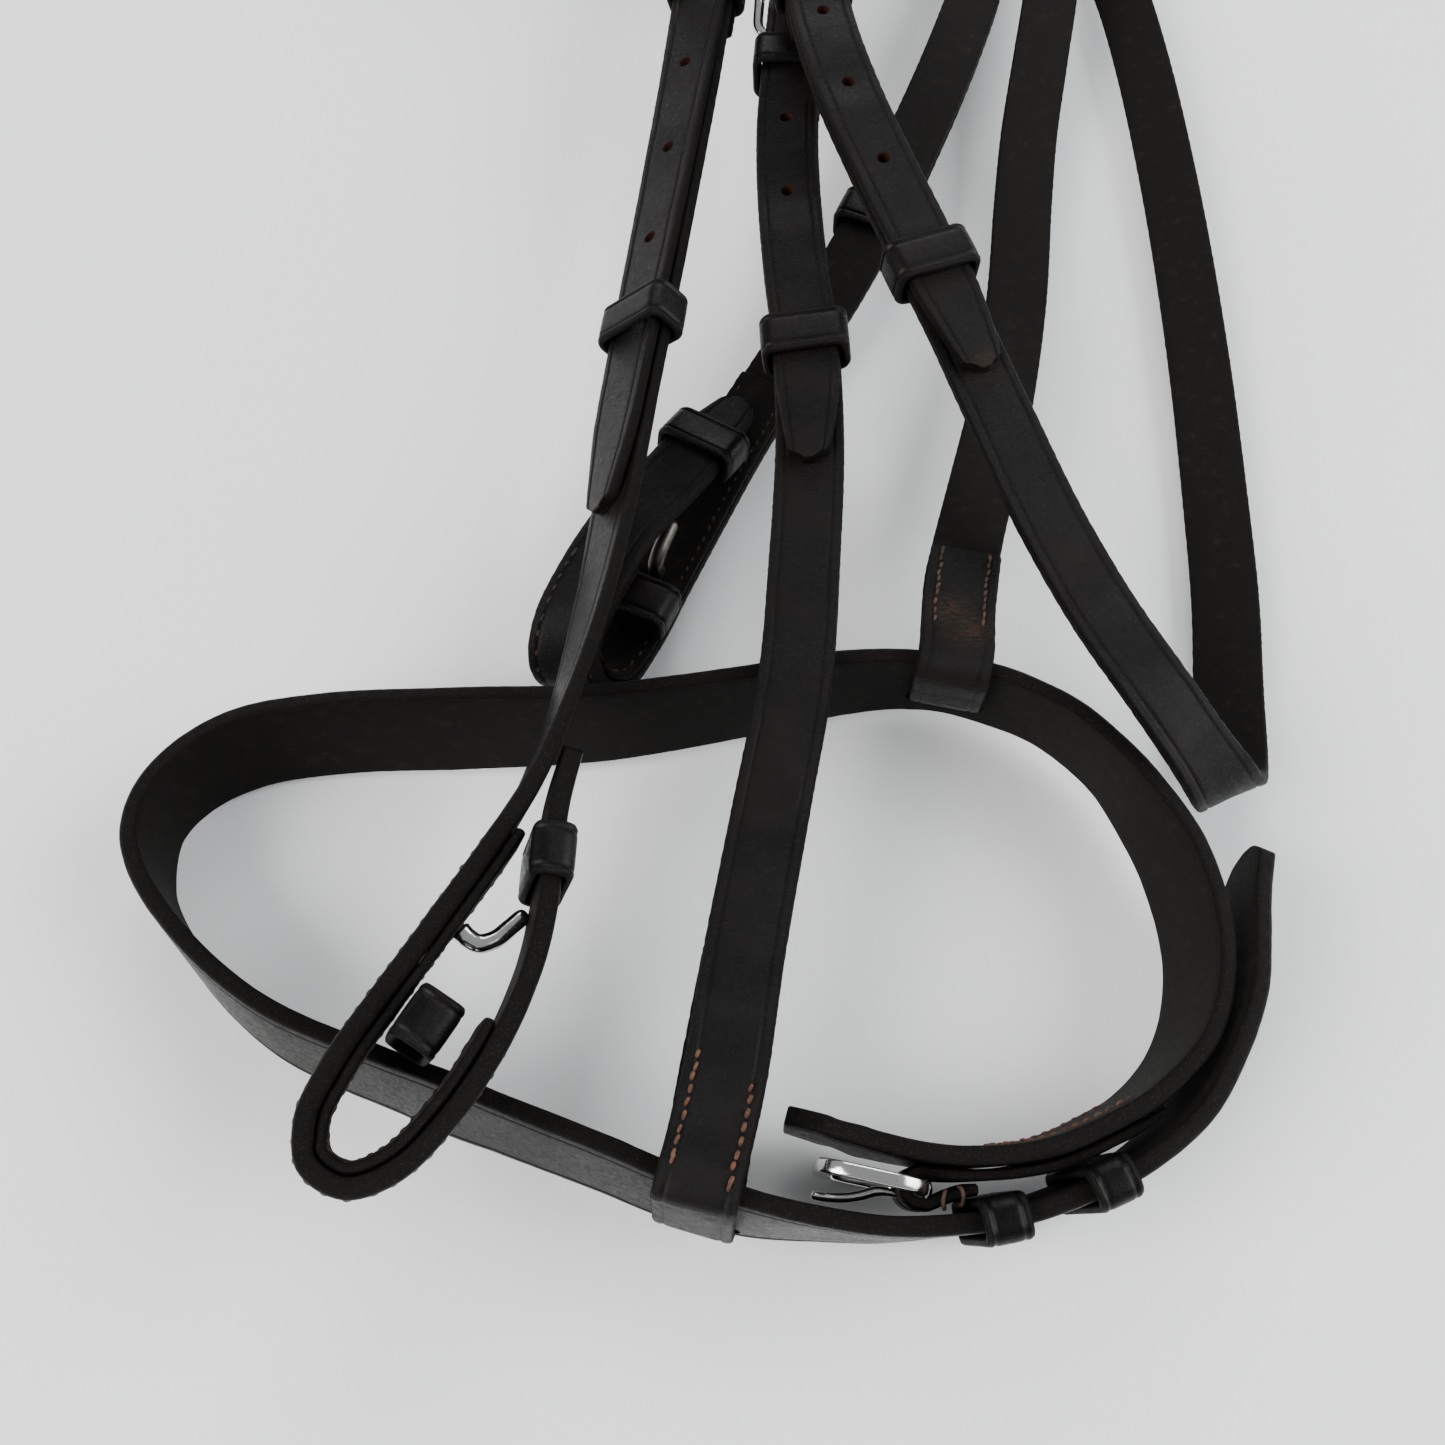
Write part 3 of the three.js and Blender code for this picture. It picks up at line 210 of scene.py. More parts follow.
THROATLASH = [
    [111.8, 493, 5.8, 1, 0, 0],
    [113.5, 478, 6.2, 1, -0.1, 0.04],
    [117.5, 456, 7.6, 0.97, -0.14, 0.18],
    [121.5, 430, 9, 0.9, -0.1, 0.42],
    [124.5, 404, 9.4, 0.86, -0.04, 0.5],
    [126.6, 372, 8.6, 0.88, 0, 0.46],
    [127.6, 338, 7.4, 0.91, 0.02, 0.4],
    [127.6, 303, 6.4, 0.93, 0.02, 0.34],
    [126.4, 262, 5.6, 0.95, 0.02, 0.3],
    [124.2, 224, 5, 0.95, 0.01, 0.3],
    [121.5, 190, 5, 0.95, 0, 0.3],
    [117.8, 164, 5.8, 0.94, 0.05, 0.32],
    [115.2, 148, 7.8, 0.93, 0.18, 0.3],
    [112.4, 138.4, 11.6, 0.92, 0.3, 0.22],
    [109.2, 133.6, 17.6, 0.91, 0.38, 0.12],
    [104.8, 133.2, 24.8, 0.89, 0.45, 0],
    [99.2, 138.2, 30.4, 0.86, 0.5, -0.06],
    [91.6, 150, 34, 0.86, 0.5, -0.04],
    [82, 168, 35.8, 0.88, 0.47, 0],
    [72.2, 190, 39, 0.9, 0.44, 0],
    [63, 216, 42.6, 0.91, 0.4, 0],
    [55, 239, 46, 0.91, 0.4, 0],
    [47, 261, 48.6, 0.92, 0.38, 0],
    [39, 284, 51, 0.93, 0.36, 0],
    [31, 310, 53, 0.95, 0.28, 0],
    [26, 333, 54.2, 0.98, 0.18, 0],
    [24, 350, 54.8, 1, 0.06, 0],
    [24, 368, 54.8, 1, -0.04, 0],
]
HEADSTALL = [
    [53.6, 181, 25, -0.98, 0.18, 0],
    [56.6, 193, 22, -0.98, 0.2, 0],
    [63, 216, 16.5, -0.97, 0.24, 0],
    [71.5, 247, 12.5, -0.97, 0.24, 0],
    [79, 283, 10.5, -0.98, 0.18, 0],
    [84, 318, 11, -0.99, 0.12, 0],
    [88, 344, 12.5, -0.99, 0.12, 0],
    [93.5, 372, 16, -0.98, 0.16, 0],
    [98.5, 398, 20, -0.99, 0.1, 0],
    [101.5, 425, 22.5, -1, 0.04, 0],
    [102.5, 450, 21.5, -1, 0, 0],
    [101.5, 472, 17.4, -1, -0.04, 0],
    [99.5, 494, 12.4, -0.98, -0.14, 0],
    [95.5, 511, 12.6, -0.95, -0.26, 0],
    [93, 519, 19, -0.92, -0.36, 0],
    [88.6, 519, 28, -0.9, -0.42, 0],
    [81, 511, 34.6, -0.88, -0.46, 0],
    [66, 494, 37.6, -0.84, -0.52, 0],
    [47, 469, 38.6, -0.86, -0.5, 0],
    [33, 444, 38.4, -0.92, -0.38, 0],
    [24.5, 420, 38.2, -0.97, -0.24, 0],
    [20.8, 396, 38, -0.99, -0.1, 0],
]
CROWN_ROUTE = [
    [17, 432, 43, 0.93, 0.36, 0],
    [30, 459, 43.5, 0.88, 0.46, 0],
    [48, 485, 43.5, 0.84, 0.53, 0],
    [66, 507, 43, 0.85, 0.52, 0],
    [82, 524, 40, 0.88, 0.47, 0],
    [92, 533, 32, 0.92, 0.38, 0],
    [97, 536, 21, 0.95, 0.3, 0],
    [99.5, 531, 10.5, 0.97, 0.22, 0],
    [101.5, 518, 6.6, 0.98, 0.14, 0],
    [103, 502, 6.2, 1, 0.06, 0],
    [103.5, 488, 6.2, 1, 0, 0],
]
BROWBAND_ROUTE = [
    [-16, 461, 36, 0.42, 0.9, 0],
    [-2, 454.5, 34.2, 0.42, 0.9, 0],
    [20, 444.5, 33.6, 0.42, 0.9, 0],
    [38, 436.5, 34, 0.42, 0.9, 0],
    [46.4, 432.7, 37.2, 0.42, 0.9, 0],
    [47.4, 432.2, 43, 0.42, 0.9, 0],
    [42, 434.7, 47.6, 0.42, 0.9, 0],
    [20, 444.6, 48.4, 0.42, 0.9, 0],
    [2, 452.8, 47.8, 0.42, 0.9, 0],
    [-9, 457.6, 44.6, 0.42, 0.9, 0],
    [-22, 463, 41, 0.36, 0.93, 0],
    [-50, 470, 38.6, 0.16, 0.98, 0],
    [-85, 472, 36, 0, 1, 0],
    [-110, 471, 28, -0.04, 1, 0],
    [-119, 470, 17, -0.04, 1, 0],
    [-110, 470, 6.5, 0, 1, 0],
    [-85, 472, 2.4, 0.04, 1, 0],
    [-30, 482, 1.8, 0.1, 1, 0],
    [30, 491, 1.8, 0.06, 1, 0],
    [70, 494.6, 1.8, 0.03, 1, 0],
    [100, 496, 1.8, 0.02, 1, 0],
    [117, 496.4, 1.8, 0, 1, 0],
    [123.6, 496.6, 4.4, 0, 1, 0],
    [125.2, 496.6, 10, 0, 1, 0],
    [121.5, 496.5, 16.4, 0, 1, 0],
    [112, 496.2, 19.6, 0, 1, 0],
    [98, 496, 19.6, 0, 1, 0],
    [86, 495.6, 18.4, 0, 1, 0],
    [77, 495.2, 14, 0.02, 1, 0],
    [72, 494.8, 8.6, 0.03, 1, 0],
    [65, 494.2, 5.7, 0.03, 1, 0],
    [52, 492.8, 5.3, 0.05, 1, 0],
]
LEFT_WRAP = [
    [-8, -4.3],
    [0, -4],
    [6.6, -3.4],
    [8.4, -2],
    [8.8, 0],
    [8.4, 2],
    [6.6, 3.4],
    [2, 3.8],
    [-4, 4],
    [-9.5, 4.2],
    [-13.2, 3.6],
]
RIGHT_WRAP = [
    [-14.6, 2],
    [-14.3, -2.2],
    [-12, -4],
    [-6, -4.2],
    [-1, -4],
    [2.4, -3.4],
    [4.2, -2],
    [4.6, 0],
    [4.2, 2],
    [2.4, 3.4],
    [-2, 4],
    [-6, 5.2],
]
LEFT_WRAP_LAP = [
    [4, 93, 27.8, 0.97, -0.22, 0],
    [0.9, 76, 27.9, 0.95, -0.3, 0],
    [-1.2, 64.5, 27.1, 0.93, -0.36, 0],
]
RIGHT_WRAP_LAP = [
    [55.8, 189.5, 26.1, -0.98, 0.2, 0],
    [53.8, 180, 28.6, -0.98, 0.18, 0],
    [52.2, 172, 30.4, -0.98, 0.16, 0],
]


# ---------------------------------------------------------------- materials
class Nodes:
    """A material's node tree, built by name."""

    def __init__(self, name):
        self.material = bpy.data.materials.new(name)
        self.material.use_nodes = True
        self.tree = self.material.node_tree
        self.tree.nodes.clear()

    def add(self, kind, inputs=None, **properties):
        node = self.tree.nodes.new("ShaderNode" + kind)
        for key, value in properties.items():
            setattr(node, key, value)
        for key, value in (inputs or {}).items():
            if isinstance(value, bpy.types.NodeSocket):
                self.tree.links.new(value, node.inputs[key])
            else:
                node.inputs[key].default_value = value
        return node

    def math(self, operation, a, b=0.0, c=0.0, clamp=False):
        node = self.add("Math", {0: a, 1: b, 2: c}, operation=operation, use_clamp=clamp)
        return node.outputs[0]

    def ramp(self, value, low, high, to_low=0.0, to_high=1.0):
        sockets = {"Value": value, "From Min": low, "From Max": high, "To Min": to_low, "To Max": to_high}
        return self.add("MapRange", sockets, interpolation_type="SMOOTHSTEP").outputs["Result"]

    def noise(self, vector, scale, detail=3.0, rough=0.5):
        sockets = {"Vector": vector, "Scale": scale, "Detail": detail, "Roughness": rough}
        return self.add("TexNoise", sockets).outputs["Fac"]

    def mix(self, factor, a, b):
        node = self.add("Mix", {"Factor": factor, 6: a, 7: b}, data_type="RGBA")
        return node.outputs[2]

    def scaled(self, vector, size):
        return self.add("Mapping", {"Vector": vector, "Scale": size}).outputs["Vector"]

    def finish(self, colour, roughness, height, **constants):
        bump = self.add("Bump", {"Height": height, "Strength": 1.0, "Distance": MM})
        sockets = {"Base Color": colour, "Roughness": roughness, "Normal": bump.outputs["Normal"]}
        shader = self.add("BsdfPrincipled", sockets)
        for key, value in constants.items():
            shader.inputs[key.replace("_", " ")].default_value = value
        output = self.add("OutputMaterial")
        self.tree.links.new(shader.outputs["BSDF"], output.inputs["Surface"])
        return self.material


def rgb(r, g, b):
    return (r, g, b, 1.0)


def leather(name, dark, warm, worn, roughness, wrinkle, patches=0.5):
    """Bridle leather. The map "strap" holds millimetres across and along the strap, and the map "side"
    holds how much of a point is grain side, and how much of it is cut edge (2 inside a punched hole)."""
    n = Nodes(name)
    strap = n.add("UVMap", uv_map="strap").outputs["UV"]
    side = n.add("SeparateXYZ", {0: n.add("UVMap", uv_map="side").outputs["UV"]})
    grain, edge_value = side.outputs["X"], side.outputs["Y"]
    flesh = n.math("SUBTRACT", 1.0, grain)
    edge = n.math("MINIMUM", edge_value, 1.0)
    hole = n.math("GREATER_THAN", edge_value, 1.5)
    mm = n.scaled(n.add("TexCoord").outputs["Object"], (1000, 1000, 1000))

    broad = n.noise(mm, 0.04, 5.0, 0.65)
    fine = n.noise(mm, 0.9, 6.0, 0.68)
    crackle = n.noise(n.scaled(strap, (0.45, 2.4, 1)), 1.0, 7.0, 0.74)
    stiff = n.ramp(n.noise(n.scaled(strap, (0.03, 0.05, 1)), 1.0, 2.0), 0.35, 0.7, 0.3, 1.0)
    colour = n.mix(n.ramp(broad, 0.44, 0.66, 0.0, patches), dark, warm)
    colour = n.mix(n.ramp(fine, 0.4, 0.7, 0.0, 0.6), colour, rgb(0.0016, 0.0014, 0.0013))
    colour = n.mix(n.ramp(crackle, 0.55, 0.7, 0.0, 0.5), colour, warm)
    # Painted highlight: light hairlines along the wrinkles, where the crackle pattern peaks on stiff leather, are
    # painted into the colour for light catching the wrinkles.
    painted_wrinkle_highlights = n.math("MULTIPLY", n.ramp(crackle, 0.6, 0.68), stiff)
    colour = n.mix(n.math("MULTIPLY", painted_wrinkle_highlights, 0.3), colour, rgb(0.034, 0.031, 0.028))
    scuffs = n.noise(n.scaled(strap, (0.55, 0.08, 1)), 1.0, 7.0, 0.72)
    colour = n.mix(n.ramp(scuffs, 0.64, 0.82, 0.0, 0.5), colour, worn)
    specks = n.noise(mm, 2.3, 4.0, 0.7)
    colour = n.mix(n.ramp(specks, 0.68, 0.74, 0.0, 0.3), colour, rgb(0.07, 0.06, 0.05))
    rubbed = n.math("MULTIPLY", n.add("Attribute", attribute_name="wear").outputs["Fac"], n.ramp(crackle, 0.44, 0.58))
    colour = n.mix(n.math("MULTIPLY", rubbed, 0.7), colour, rgb(0.05, 0.027, 0.014))

    fibre = n.noise(mm, 1.1, 8.0, 0.8)
    mottle = n.noise(mm, 0.28, 5.0, 0.7)
    flesh_colour = n.mix(n.ramp(fibre, 0.34, 0.68), rgb(0.0014, 0.0012, 0.0011), rgb(0.0065, 0.0052, 0.0042))
    flesh_colour = n.mix(n.ramp(mottle, 0.52, 0.72, 0.0, 0.6), flesh_colour, rgb(0.013, 0.0105, 0.008))
    colour = n.mix(grain, flesh_colour, colour)
    flecks = n.noise(mm, 2.6, 6.0, 0.78)
    cut = n.mix(n.ramp(flecks, 0.54, 0.64), rgb(0.0024, 0.002, 0.0018), worn)
    colour = n.mix(n.math("MULTIPLY", edge, 0.85), colour, cut)
    colour = n.mix(hole, colour, rgb(0.04, 0.013, 0.008))

    gloss = n.math("ADD", n.ramp(fine, 0.3, 0.75, roughness - 0.06, roughness + 0.16), n.ramp(broad, 0.4, 0.7, 0.0, 0.08))
    flesh_rough = n.ramp(fibre, 0.2, 0.8, 0.6, 0.85)
    rough = n.math("ADD", n.math("MULTIPLY", grain, gloss), n.math("MULTIPLY", flesh, flesh_rough))
    rough = n.math("MAXIMUM", rough, n.math("MULTIPLY", edge, 0.56))
    rough = n.math("MAXIMUM", rough, n.math("MULTIPLY", rubbed, 0.75))

    pores = n.add("TexVoronoi", {"Vector": mm, "Scale": 2.1}, feature="SMOOTH_F1").outputs["Distance"]
    smooth = n.math("ADD", n.math("MULTIPLY", pores, 0.02), n.math("MULTIPLY", fine, 0.05))
    smooth = n.math("ADD", smooth, n.math("MULTIPLY", n.math("MULTIPLY", crackle, stiff), wrinkle))
    height = n.math("ADD", n.math("MULTIPLY", grain, smooth), n.math("MULTIPLY", flesh, n.math("MULTIPLY", fibre, 0.13)))
    height = n.math("ADD", height, n.math("MULTIPLY", edge, n.math("MULTIPLY", flecks, 0.75)))
    return n.finish(colour, rough, height, Specular_IOR_Level=0.1)


def metal(name, bright, tarnished, polish=0.1):
    n = Nodes(name)
    mm = n.scaled(n.add("TexCoord").outputs["Object"], (1000, 1000, 1000))
    cloud = n.noise(mm, 0.35, 5.0, 0.65)
    spots = n.noise(mm, 1.7, 5.0, 0.7)
    scratch = n.noise(n.scaled(mm, (0.5, 3.2, 1.1)), 1.6, 3.0, 0.6)
    colour = n.mix(n.ramp(cloud, 0.42, 0.72, 0.0, 0.6), bright, tarnished)
    colour = n.mix(n.ramp(spots, 0.62, 0.74, 0.0, 0.7), colour, rgb(0.16, 0.13, 0.1))
    rough = n.math("ADD", n.ramp(cloud, 0.3, 0.8, polish, polish + 0.16), n.ramp(spots, 0.6, 0.75, 0.0, 0.3))
    height = n.math("ADD", n.math("MULTIPLY", scratch, 0.012), n.math("MULTIPLY", spots, 0.01))
    return n.finish(colour, rough, height, Metallic=1.0)


def thread(name, light, dark):
    n = Nodes(name)
    mm = n.scaled(n.add("TexCoord").outputs["Object"], (1000, 1000, 1000))
    dirt = n.noise(mm, 0.5, 4.0, 0.6)
    strand = n.add("TexWave", {"Vector": mm, "Scale": 1.1, "Distortion": 1.5, "Detail": 1.0}, bands_direction="DIAGONAL")
    twist = strand.outputs["Fac"]
    colour = n.mix(n.ramp(dirt, 0.4, 0.68, 0.05, 0.85), light, dark)
    # Painted shade: the colour is darkened in the grooves between the twisted strands, where the bump is lowest.
    colour = n.mix(n.ramp(twist, 0.1, 0.5, 0.45, 0.0), colour, rgb(0.02, 0.012, 0.008))
    return n.finish(colour, n.ramp(dirt, 0.2, 0.8, 0.6, 0.85), n.math("MULTIPLY", twist, 0.09), Specular_IOR_Level=0.3)


def floor_material():
    n = Nodes("pale_floor")
    mm = n.scaled(n.add("TexCoord").outputs["Object"], (1000, 1000, 1000))
    cloud = n.noise(mm, 0.006, 3.0, 0.5)
    colour = n.mix(cloud, rgb(0.84, 0.85, 0.85), rgb(0.88, 0.885, 0.885))
    return n.finish(colour, n.ramp(cloud, 0.0, 1.0, 0.5, 0.6), n.math("MULTIPLY", n.noise(mm, 0.4, 4.0), 0.004), Specular_IOR_Level=0.25)


DARK, WARM, WORN = rgb(0.003, 0.0026, 0.0025), rgb(0.0075, 0.0038, 0.0031), rgb(0.034, 0.021, 0.014)
LEATHER = leather("bridle_leather", DARK, WARM, WORN, 0.28, 0.55)
KEEPER_LEATHER = leather("keeper_leather", rgb(0.003, 0.0027, 0.0026), WARM, WORN, 0.27, 0.16, 0.3)
NICKEL = metal("polished_nickel", rgb(0.74, 0.735, 0.72), rgb(0.52, 0.49, 0.44))
# A copy of the nickel for the right hook stud, which lies on the underside: its dark colour is painted shade, and its
# tarnish spots and duller roughness are real wear.
SHADED_NICKEL = metal("shaded_nickel", rgb(0.1, 0.094, 0.084), rgb(0.045, 0.038, 0.03), 0.34)
THREAD = thread("tan_thread", rgb(0.135, 0.058, 0.032), rgb(0.035, 0.017, 0.011))
WORN_THREAD = thread("worn_thread", rgb(0.07, 0.036, 0.022), rgb(0.012, 0.008, 0.006))
DARK_THREAD = thread("dark_thread", rgb(0.04, 0.02, 0.013), rgb(0.009, 0.006, 0.005))
FLOOR = floor_material()


# ---------------------------------------------------------------- curves and frames
def spline(points, per_span=24):
    """A centripetal Catmull-Rom curve through points, read per_span times between two of them."""
    pts = np.asarray(points, float)
    ext = np.vstack([2 * pts[0] - pts[1], pts, 2 * pts[-1] - pts[-2]])
    w = (np.arange(per_span) / per_span)[:, None]
    out = []
    for i in range(len(pts) - 1):
        p0, p1, p2, p3 = ext[i : i + 4]
        d0, d1, d2 = np.sqrt(np.linalg.norm(np.diff(ext[i : i + 4], axis=0), axis=1))
        d1 = d1 if d1 > 1e-4 else 1.0
        d0 = d0 if d0 > 1e-4 else d1
        d2 = d2 if d2 > 1e-4 else d1
        m1 = ((p1 - p0) / d0 - (p2 - p0) / (d0 + d1) + (p2 - p1) / d1) * d1
        m2 = ((p2 - p1) / d1 - (p3 - p1) / (d1 + d2) + (p3 - p2) / d2) * d1
        out.append(p1 + m1 * w + (3 * (p2 - p1) - 2 * m1 - m2) * w**2 + (2 * (p1 - p2) + m1 + m2) * w**3)
    return np.vstack([*out, pts[-1:]])


def unit(v):
    return v / np.linalg.norm(v, axis=-1, keepdims=True)


class Run:
    """Frames along a strap: p its middle, t the travel, a across it, n out of its grain side, d the distance."""

    def __init__(self, p, t, a, d, thick=None, width=None):
        self.p, self.t = np.atleast_2d(p), unit(np.atleast_2d(t))
        a = np.atleast_2d(a)
        self.a = unit(a - self.t * np.sum(a * self.t, axis=1, keepdims=True))
        self.n = np.cross(self.a, self.t)
        self.d = np.atleast_1d(np.asarray(d, float))
        self.thick, self.width = thick, width

    def moved(self, across=0.0, along=0.0, out=0.0):
        across, along, out = (np.reshape(np.asarray(x, float), (-1, 1)) for x in (across, along, out))
        return self.p + self.a * across + self.t * along + self.n * out

    def shifted(self, across=0.0, along=0.0, out=0.0):
        return Run(self.moved(across, along, out), self.t, self.a, self.d, self.thick, self.width)

    def backwards(self):
        return Run(self.p, -self.t, -self.a, self.d)


class Route:
    def __init__(self, rows):
        rows = np.array(rows, float)
        self.p, self.a = spline(rows[:, :3]), spline(rows[:, 3:])
        self.t = np.gradient(self.p, axis=0)
        steps = np.linalg.norm(np.diff(self.p, axis=0), axis=1)
        self.s = np.concatenate([[0.0], np.cumsum(steps)])
        self.length = self.s[-1]

    def at(self, d):
        d = np.atleast_1d(np.asarray(d, float))
        read = lambda v: np.stack([np.interp(d, self.s, v[:, k]) for k in range(3)], axis=1)
        return Run(read(self.p), read(self.t), read(self.a), d)

    def run(self, start=0.0, end=None, step=1.0):
        end = self.length if end is None else end
        count = max(2, int(round(abs(end - start) / step)) + 1)
        return self.at(np.linspace(start, end, count))

    def nearest(self, point, start=0.0, end=None):
        d = np.arange(start, self.length if end is None else end, 0.25)
        return d[np.argmin(np.linalg.norm(self.at(d).p - np.array(point, float), axis=1))]


def joined_runs(*runs):
    """Runs one after the other, as one run whose distances go on counting."""
    p = np.vstack([r.p for r in runs])
    d = np.concatenate([[0.0], np.cumsum(np.linalg.norm(np.diff(p, axis=0), axis=1))])
    thick = np.concatenate([np.broadcast_to(r.thick, len(r.d)) for r in runs])
    return Run(p, np.vstack([r.t for r in runs]), np.vstack([r.a for r in runs]), d, thick)


def ripple(x, seed):
    """A smooth wandering value between about -1 and 1."""
    draw = np.random.default_rng(seed)
    total = 0.0
    for k in range(5):
        total = total + math.exp(-0.25 * k) * np.sin(x * (0.61 + 0.83 * k + draw.random() * 0.4) + draw.random() * 6.28)
    return total / 2.4


# ---------------------------------------------------------------- meshes
def mesh_object(name, verts, faces, uvs, material, smooth_angle=38):
    """verts in layout millimetres. uvs holds, for each map, two numbers per face corner."""
    mesh = bpy.data.meshes.new(name)
    mesh.from_pydata(((np.asarray(verts) - LAYOUT_CENTRE) * MM).tolist(), [], faces)
    for key, values in (uvs or {}).items():
        layer = mesh.uv_layers.new(name=key)
        layer.data.foreach_set("uv", np.asarray(values, np.float32).ravel())
    mesh.materials.append(material)
    mesh.polygons.foreach_set("use_smooth", [True] * len(mesh.polygons))
    mesh.set_sharp_from_angle(angle=math.radians(smooth_angle))
    mesh.update()
    obj = bpy.data.objects.new(name, mesh)
    bpy.context.scene.collection.objects.link(obj)
    return obj


def section(crease, crease_depth=0.22):
    """Rows of a strap's cross-section, clockwise from the left of its grain side:
    side, inset from that side, level, drop from the surface, how much grain, how much cut edge."""
    c = crease
    half = [
        (1, 0.0, 0, 0.0, 0.3, 1),
        (1, 0.03, 0.5, 0.0, 0.4, 1),
        (1, 0.2, 1, 0.45, 0.7, 0.85),
        (1, 0.5, 1, 0.14, 1, 0.35),
        (1, 1.0, 1, 0.02, 1, 0),
        (1, c - 0.75, 1, -0.03, 1, 0),
        (1, c - 0.35, 1, 0.04, 1, 0),
        (1, c - 0.12, 1, crease_depth * 0.8, 1, 0),
        (1, c, 1, crease_depth, 1, 0),
        (1, c + 0.12, 1, crease_depth * 0.8, 1, 0),
        (1, c + 0.35, 1, 0.03, 1, 0),
        (1, c + 0.9, 1, -0.03, 1, 0),
        (0.3, 0.0, 1, -0.05, 1, 0),
    ]
    under = [
        (0.35, 0.0, -1, 0.0, 0, 0),
        (1, 2.2, -1, 0.0, 0, 0),
        (1, 1.0, -1, 0.03, 0, 0),
        (1, 0.45, -1, 0.14, 0, 0.35),
        (1, 0.18, -1, 0.42, 0, 0.85),
        (1, 0.03, -0.5, 0.0, 0.2, 1),
    ]
    left = [(-s, *rest) for s, *rest in half]
    right = list(reversed(half))
    under_left = [(-s, *rest) for s, *rest in under]
    rows = left[1:] + right[:-1] + [half[0]] + list(reversed(under)) + under_left + [left[0]]
    return np.array(rows, float)


STRAP_SECTION = section(2.4)
PLAIN_SECTION = section(1.6, 0.0)
BAND_SECTION = section(1.7, 0.28)


def sweep(run, width, thick, shape=STRAP_SECTION, rough=0.1, closed=False, seed=1, end_bow=(0, 0)):
    """A strap's vertices, faces and maps through the frames of a run."""
    half = np.broadcast_to(np.asarray(run.width if run.width is not None else width, float) / 2, len(run.d))
    deep = np.broadcast_to(np.asarray(run.thick if run.thick is not None else thick, float) / 2, len(run.d))
    side, inset, level, drop, grain, edge = shape.T
    d = run.d[:, None]
    shrink = np.minimum(1, half / (np.max(half) if np.max(half) > 0 else 1))[:, None]
    across = side * half[:, None] - np.sign(side) * inset * shrink
    out = level * deep[:, None] - np.sign(level) * drop * np.minimum(1, deep[:, None] / 1.1)
    index = np.arange(len(shape))
    if not closed:
        across = across + np.sign(side) * edge * rough * ripple(d * 1.9 + index * 0.9, seed)
        out = out + edge * rough * 0.5 * ripple(d * 1.3 + index * 1.7, seed + 1)
        out = out + np.sign(level) * 0.04 * ripple(d * 0.22 + across * 0.21, seed + 2) * (level != 0)
    along = np.zeros_like(across)
    length = run.d[-1] - run.d[0]
    near = np.clip(1 - np.minimum(d - run.d[0], run.d[-1] - d) / 5, 0, 1)
    bow = np.where(d - run.d[0] < length / 2, end_bow[0], -end_bow[1])
    if not closed:
        along = along + bow * near * np.abs(across / np.maximum(half[:, None], 0.1)) ** 3
    verts = (
        run.p[:, None] + run.a[:, None] * across[..., None] + run.n[:, None] * out[..., None] + run.t[:, None] * along[..., None]
    )
    maps = np.stack([across, np.broadcast_to(d, across.shape)], axis=-1)
    if not closed:
        verts, maps = with_ends(run, verts, maps, half, deep)
    rings, sides = verts.shape[:2]
    i = np.arange(rings if closed else rings - 1)[:, None]
    k = np.arange(sides)[None, :]
    j, l = (i + 1) % rings, (k + 1) % sides
    i, k, j, l = np.broadcast_arrays(i, k, j, l)
    quads = np.stack([i * sides + k, i * sides + l, j * sides + l, j * sides + k], axis=-1).reshape(-1, 4)
    strap_uv = np.stack([maps[i, k], maps[i, l], maps[j, l], maps[j, k]], axis=-2).copy()
    if closed:
        strap_uv[-1, :, 2:, 1] += length + np.linalg.norm(run.p[-1] - run.p[0])
    kind = np.stack([grain, edge], axis=-1)
    side_uv = np.stack([kind[k], kind[l], kind[l], kind[k]], axis=-2)
    faces = quads.tolist()
    strap_uv, side_uv = strap_uv.reshape(-1, 2), side_uv.reshape(-1, 2)
    if not closed:
        last = (rings - 1) * sides
        faces += [list(range(sides - 1, -1, -1)), list(range(last, last + sides))]
        strap_uv = np.vstack([strap_uv, maps[0][::-1], maps[-1]])
        side_uv = np.vstack([side_uv, np.tile([0.2, 1.0], (2 * sides, 1))])
    return verts.reshape(-1, 3), faces, {"strap": strap_uv, "side": side_uv}


def with_ends(run, verts, maps, half, deep):
    """Adds a shrunk ring at each end, so that the cut end has a rounded rim."""
    for at, sign in ((0, -1), (-1, 1)):
        middle, a, n, t = run.p[at], run.a[at], run.n[at], run.t[at]
        local = verts[at] - middle
        pull = np.clip(1 - 0.3 / np.maximum(deep[at], 0.5), 0.3, 1)
        squeeze = 1 - 0.3 / np.maximum(half[at], 1)
        inner = np.outer(local @ a * squeeze, a) + np.outer(local @ n * pull, n) + np.outer(local @ t, t)
        ring = (middle + inner + t * sign * 0.3)[None]
        verts = np.concatenate([ring, verts] if sign < 0 else [verts, ring])
        flat = maps[at][None]
        maps = np.concatenate([flat, maps] if sign < 0 else [maps, flat])
    return verts, maps


def merged(parts):
    """Several (verts, faces, maps) as one."""
    verts, faces, maps, base = [], [], {}, 0
    for v, f, m in parts:
        verts.append(v)
        faces += [[base + i for i in face] for face in f]
        base += len(v)
        for key in m:
            maps.setdefault(key, []).append(m[key])
    return np.vstack(verts), faces, {key: np.vstack(values) for key, values in maps.items()}


